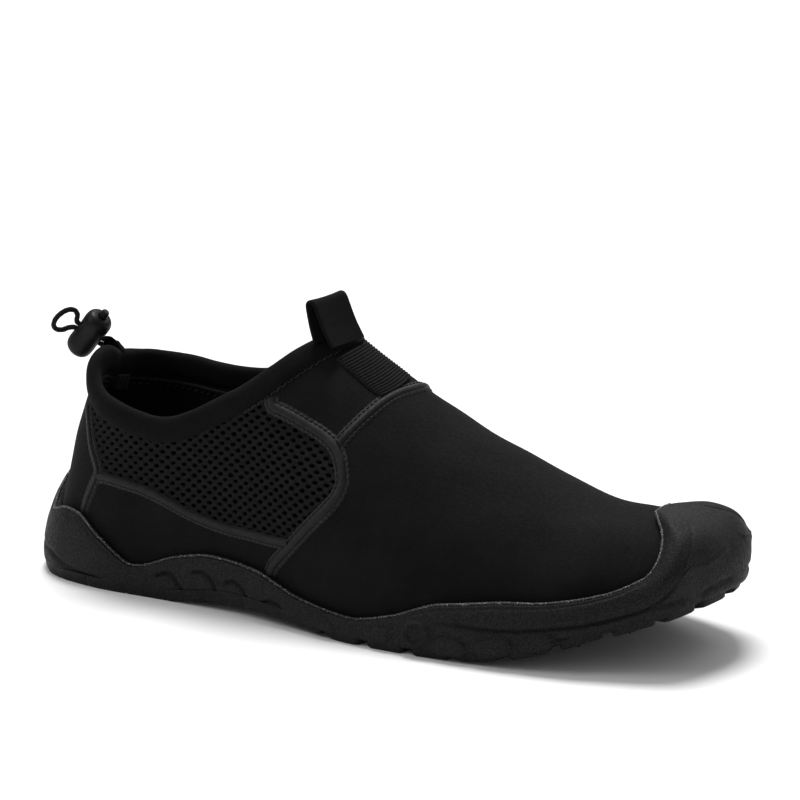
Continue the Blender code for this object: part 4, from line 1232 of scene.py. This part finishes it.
HIGH_STRAND = (
    (-0.0136, 0.0035, 0.0843), (-0.0141, 0.0032, 0.0857), (-0.0155, 0.0023, 0.0872),
    (-0.0170, 0.0014, 0.0876),
)


def lock_matrix():
    """The lock's frame: X along the cord's hole, Z up the barrel."""
    z = LOCK_AXIS
    x = (LOCK_HOLE_AXIS - z * LOCK_HOLE_AXIS.dot(z)).normalized()
    return Matrix.Translation(LOCK_CENTRE) @ Matrix((x, z.cross(x), z)).transposed().to_4x4()


def turned(name, profile, radius, oval, material, body, node):
    """A solid turned about the lock's axis, smooth through its profile."""
    fine = smooth_run(profile, 5) if len(profile) > 8 else np.array(profile)
    turns = np.linspace(0, math.tau, TURNED_POINTS, endpoint=False)
    x, y = (np.outer(v, fine[:, 0] * radius) for v in (np.cos(turns), np.sin(turns)))
    points = np.stack([x, y * oval, np.broadcast_to(fine[:, 1], x.shape)], -1)
    world = np.array(lock_matrix())
    points = points @ world[:3, :3].T + world[:3, 3]
    faces = grid_faces(len(turns), len(fine), True, False)
    return make(name, points, faces, material, node, body, sharp=45)


def cord_path():
    """The points that the drawcord's middle line follows."""
    world = lock_matrix()
    high = [world @ Vector((x, 0, STRAND_OFFSET)) for x in STRAND_REACH]
    low = [world @ Vector((x, 0, -STRAND_OFFSET)) for x in STRAND_REACH[::-1]]
    loop = [world @ Vector(place) for place in LOOP_ROUTE]
    route = [*HIGH_STRAND, *high, *loop, *low, *LOW_STRAND]
    path, _ = even_run(smooth_run([list(p) for p in route], 16), CORD_STEP)
    return path


def build_cord(material):
    """The braided drawcord."""
    path = cord_path()
    along = unit(np.gradient(path, axis=0))
    side = np.cross(along[0], [0, 0, 1.0])
    sides = []
    for ahead in along:
        side = unit(side - ahead * (side @ ahead))
        sides.append(side)
    turns = 4 * np.linspace(0, math.tau, CORD_POINTS, endpoint=False)
    twist = (np.arange(len(path)) * CORD_STEP / BRAID_PITCH * math.tau)[:, None]
    radius = CORD_RADIUS * (1.03 + 0.06 * np.cos(turns + twist) * np.cos(turns - twist))
    lines = tube(path, np.array(sides), np.cross(along, sides), radius, CORD_POINTS)
    made = make("draw_cord", lines, capped(lines), material, "drawcord")
    length = float(run_of(path)[-1])
    return made


# Inside the shoe

INSOLE_DISH = 0.0007
HEM_STITCH = 0.0028
HEM_RADIUS = 0.00055
HEM_SQUASH = 1.6
COLLAR_STITCH = 0.0015
ZIGZAG_LIFT = 0.00012
ZIGZAG_DROPS = (0.0006, 0.0019)
TAG_ROWS = (0.10, 0.74)
TAG_DROPS = (0.0002, 0.0068)
TAG_LAYERS = (0.0012, 0.0017)
LINING_DROP = 0.0030
SLEEVE_POINTS = 28
SLEEVE_PLEATS = 7
SLEEVE_PLEAT = 0.07
SLEEVE_HEM = 0.0019
# Each ring of a sleeve: how far along the cord it lies, and its radius
SLEEVE_PROFILE = (
    (-0.0022, 0.0026), (-0.0010, 0.0023), (0.0002, 0.0019), (0.0012, 0.00165), (0.0018, 0.0016),
    (0.0021, 0.0014), (0.0021, 0.0011), (0.0014, 0.0010),
)


def below_topline(sides, rows, drop):
    """The share of the section at a short drop below the upper's edge."""
    share = topline_share(sides, rows)
    rise = surface(sides, rows, share) - surface(sides, rows, share - PROBE)
    return share - PROBE * drop / np.linalg.norm(rise, axis=-1)


def build_insole(material):
    """The insole's cloth-faced bed, dished a little under the foot."""
    sides, rows = ring(160)
    seat = read("seat", rows)
    inset = -(UPPER_WALL + CLEARANCE)
    low = standing(sides, rows, np.full(len(rows), inset), seat)
    share = share_at(rows, seat + INSOLE_THICKNESS)
    high = surface(sides, rows, share) + normal(sides, rows, share) * inset
    high[:, 2] = seat + INSOLE_THICKNESS
    total = len(rows)
    rings = [low, high]
    centre = (high + high[(total - np.arange(total)) % total]) / 2
    for t in (0.06, 0.2, 0.45, 0.75, 1.0):
        ring_points = high + (centre - high) * t
        ring_points[:, 2] -= INSOLE_DISH * math.sin(t * math.pi / 2)
        rings.append(ring_points)
    lines = np.stack(rings, 1)
    count = lines.shape[1]
    faces = grid_faces(total, count, True, False).tolist() + across_faces(total, count, 0)
    return make("insole_bed", lines, faces, material, "insole")


def build_lining(material, thread):
    """The lining's hem: a thin piping under the collar, inside the upper, and its stitches."""
    rows = spaced_rows(140, 0.3, 0.0, 4.7)
    sides = np.concatenate([np.full(len(rows), LATERAL), np.full(len(rows) - 1, MEDIAL)])[::-1]
    rows = np.concatenate([rows[::-1], rows[1:]])
    share = below_topline(sides, rows, LINING_DROP)
    out = normal(sides, rows, share)
    middle = surface(sides, rows, share) - out * (UPPER_WALL + 0.0002)
    up = np.cross(out, unit(np.gradient(middle, axis=0)))
    lines = tube(middle, out, up, HEM_RADIUS, 10, HEM_SQUASH)
    make("lining_hem", lines, capped(lines), material)
    run = run_of(middle)
    at = np.arange(HEM_STITCH, run[-1] - HEM_STITCH, HEM_STITCH)
    ends = []
    for places, drop in ((at, 0.0011), (at + 0.62 * HEM_STITCH, 0.0021)):
        place, down, away = (at_run(places, run, v) for v in (middle, up, out))
        down = down * np.where(down[:, 2:] > 0, -1, 1)
        ends.append(place + down * drop - away * 0.0002)
    return join_stitches("hem_stitches", zip(*ends, -unit(away)), thread)


def build_collar_stitches(material):
    """A zigzag of stitches under the collar, on each side of the throat."""
    pairs = []
    for side in (LATERAL, MEDIAL):
        rows = spaced_rows(400, 0.3, 4.05, 4.96)
        sides = np.full(len(rows), side)
        high, low = (
            skin(sides, rows, below_topline(sides, rows, drop), ZIGZAG_LIFT) for drop in ZIGZAG_DROPS
        )
        run = run_of(high)
        at = np.arange(0.001, run[-1] - 0.001, COLLAR_STITCH)
        down = np.arange(len(at))[:, None] % 2 == 1
        starts, ends = (
            np.where(down, at_run(places, run, first), at_run(places, run, second))
            for places, first, second in ((at, high, low), (at + 0.8 * COLLAR_STITCH, low, high))
        )
        outs = normal(sides, rows, topline_share(sides, rows))
        pairs += zip(starts, ends, unit(at_run(at, run, outs)))
    return join_stitches("collar_stitches", pairs, material)


def build_tag(material):
    """A small plain tag of folded cloth, sewn in under the collar at the heel."""
    rows, drops = np.linspace(*TAG_ROWS, 36), np.linspace(*TAG_DROPS, 12)
    row, drop = np.meshgrid(rows, drops, indexing="ij")
    sides = np.full(row.shape, MEDIAL)
    share = below_topline(sides, row, drop)
    curl = 0.0007 * np.sin(row * 31) * (drop / 0.0058) + 0.0004 * np.sin(row * 55 + drop * 900)
    out = normal(sides, row, share)
    layers = [
        surface(sides, row, share) - out * (UPPER_WALL + inset + curl)[..., None] for inset in TAG_LAYERS
    ]
    faces = grid_faces(len(rows), len(drops), False, False).tolist()
    size = row.size
    faces += [[v + size for v in face[::-1]] for face in faces]
    count = len(drops)
    rim = [i * count for i in range(len(rows))] + [size - count + k for k in range(1, count)]
    rim += [i * count + count - 1 for i in range(len(rows) - 2, -1, -1)] + list(range(count - 2, 0, -1))
    faces += [[a, b, b + size, a + size] for a, b in zip(rim, rim[1:] + rim[:1])]
    return make("heel_tag", np.stack(layers), faces, material)


def build_eyelets(material):
    """The short cloth sleeves where the drawcord comes out of the collar."""
    path = cord_path()
    for name, points in (("cord_sleeve_low", path[::-1]), ("cord_sleeve_high", path)):
        run = run_of(points)
        ahead = unit(points[6] - points[0])
        side = unit(np.cross(ahead, [0, 1.0, 0]))
        at, radius = np.array(SLEEVE_PROFILE).T[..., None]
        turns = np.linspace(0, math.tau, SLEEVE_POINTS, endpoint=False)
        radius = radius * (1 + SLEEVE_PLEAT * np.cos(turns * SLEEVE_PLEATS) * (at < SLEEVE_HEM))
        places = np.where(at > 0, at_run(at[:, 0], run, points), points[0] + ahead * at)
        side, up = (np.tile(v, (len(at), 1)) for v in (side, np.cross(ahead, side)))
        lines = tube(places, side, up, radius, SLEEVE_POINTS)
        make(name, lines, grid_faces(len(lines), SLEEVE_POINTS, False, True), material)


# The stage

PHOTO_SIZE = 800
CAMERA_AZIMUTH = math.radians(30)
CAMERA_ELEVATION = math.radians(14.5)
CAMERA_DISTANCE = 1.2
CAMERA_TARGET = Vector((0.105, 0.0, 0.045))
CAMERA_FOCUS = 3250
TARGET_PIXEL = (379, 486)
SENSOR = 0.036
WORLD_STRENGTH = 0.34
SUN_STRENGTH = 2.8
SUN_ANGLE = math.radians(22)
SUN_TRAVEL = (0.2, -0.33, -1.0)
LIT_PLACE = (0.10, 0.0, 0.05)
# Name, place, size and power in watts
AREA_LIGHTS = (
    ("key", (-0.55, -0.55, 0.75), (0.5, 0.5), 3.0), ("back", (0.1, 0.8, 0.7), (0.9, 0.4), 2.0),
)
FLOOR_REACH = 6.0


def build_camera():
    """A camera at the photograph's angle, aimed so that the target falls on its pixel."""
    a, e = CAMERA_AZIMUTH, CAMERA_ELEVATION
    back = Vector((math.sin(a) * math.cos(e), -math.cos(a) * math.cos(e), math.sin(e)))
    right = Vector((math.cos(a), math.sin(a), 0))
    up = back.cross(right)
    middle = PHOTO_SIZE / 2
    aim = -back * CAMERA_FOCUS + right * (middle - TARGET_PIXEL[0]) + up * (TARGET_PIXEL[1] - middle)
    z = -aim.normalized()
    x = up.cross(z).normalized()
    data = bpy.data.cameras.new("camera")
    data.sensor_width = SENSOR * 1000
    data.lens = CAMERA_FOCUS * SENSOR * 1000 / PHOTO_SIZE
    data.clip_start, data.clip_end = 0.05, 20
    camera = bpy.data.objects.new("camera", data)
    bpy.context.collection.objects.link(camera)
    turn = Matrix((x, z.cross(x), z)).transposed()
    camera.matrix_world = Matrix.Translation(CAMERA_TARGET + back * CAMERA_DISTANCE) @ turn.to_4x4()
    bpy.context.scene.camera = camera


def add_light(name, place, target, size, power):
    """A soft light aimed at a place."""
    data = bpy.data.lights.new(name, "AREA")
    data.shape = "RECTANGLE"
    data.size, data.size_y = size
    data.energy = power
    made = bpy.data.objects.new(name, data)
    bpy.context.collection.objects.link(made)
    made.location = place
    made.rotation_mode = "QUATERNION"
    made.rotation_quaternion = (Vector(target) - Vector(place)).to_track_quat("-Z", "Y")


def build_stage():
    """A white floor and soft studio light from above and the left."""
    mesh = bpy.data.meshes.new("floor")
    corners = [(x * FLOOR_REACH, y * FLOOR_REACH, 0) for x, y in ((-1, -1), (1, -1), (1, 1), (-1, 1))]
    mesh.from_pydata(corners, [], [(0, 1, 2, 3)])
    floor = bpy.data.objects.new("floor", mesh)
    bpy.context.collection.objects.link(floor)
    paper = Nodes("paper", (0.9, 0.9, 0.9), 0.9)
    paper.drive("Normal", paper.bump(paper.noise(40, 3), 0.0002, 0.1))
    mesh.materials.append(paper.material)
    world = bpy.data.worlds.new("studio")
    world.use_nodes = True
    background = world.node_tree.nodes["Background"]
    background.inputs["Color"].default_value = (1, 1, 1, 1)
    background.inputs["Strength"].default_value = WORLD_STRENGTH
    bpy.context.scene.world = world
    data = bpy.data.lights.new("overhead", "SUN")
    data.energy = SUN_STRENGTH
    data.angle = SUN_ANGLE
    sun = bpy.data.objects.new("overhead", data)
    bpy.context.collection.objects.link(sun)
    sun.rotation_mode = "QUATERNION"
    sun.rotation_quaternion = Vector(SUN_TRAVEL).to_track_quat("-Z", "Y")
    for name, place, size, power in AREA_LIGHTS:
        add_light(name, place, LIT_PLACE, size, power)
    bpy.context.scene.view_settings.view_transform = "Standard"


def dress():
    """All pieces of the shoe."""
    rubber = rubber_material()
    build_sole(rubber)
    build_bead(rim_grain_and_glint_material())
    build_tread(rubber)
    build_upper(neoprene_material("neoprene", 0.0050))
    knit = mesh_material()
    build_mesh(LATERAL, "mesh_panel_lateral", knit)
    build_mesh(MEDIAL, "mesh_panel_medial", knit)
    tape, thread = tape_material(), thread_material()
    for side, word in ((LATERAL, "lateral"), (MEDIAL, "medial")):
        one_edge = (side == LATERAL, side == MEDIAL)
        for part, seam, width, flanges in (
            ("heel", HEEL_SEAM, 0.0018, (True, True)), ("lower", LOWER_SEAM, 0.0026, one_edge),
            ("front", FRONT_SEAM, 0.0030, (True, True)),
        ):
            name, node = f"{part}_seam_{word}", f"{part}_tape_{word}"
            build_seam(name, side, seam, width, node, tape, thread, flanges)
    build_seam("throat_seam", LATERAL, THROAT_SEAM, 0.0026, "throat_tape", tape, thread)
    build_webbing(webbing_material("ribbed webbing", 0.009, 700))
    build_collar(neoprene_material("collar knit", 0.0040, 0.02))
    build_pull_loop(webbing_material("pull webbing", 0.0036, 900))
    build_insole(neoprene_material("insole foam", 0.006, 0.05))
    build_lining(tape, thread)
    build_collar_stitches(thread)
    build_tag(neoprene_material("tag cloth", 0.030, 0.05))
    plastic = plastic_material()
    lock = turned("lock_barrel", BARREL_PROFILE, BARREL_RADIUS, BARREL_OVAL, plastic, "shoe", "cord_lock")
    button = turned("lock_nub", NUB_PROFILE, NUB_RADIUS, 1.0, plastic, "lock_button", "cord_lock_button")
    build_eyelets(neoprene_material("sleeve knit", 0.0045, 0.02))
    build_cord(webbing_material("cord braid", 0.008, 1500))


build_camera()
build_stage()
dress()
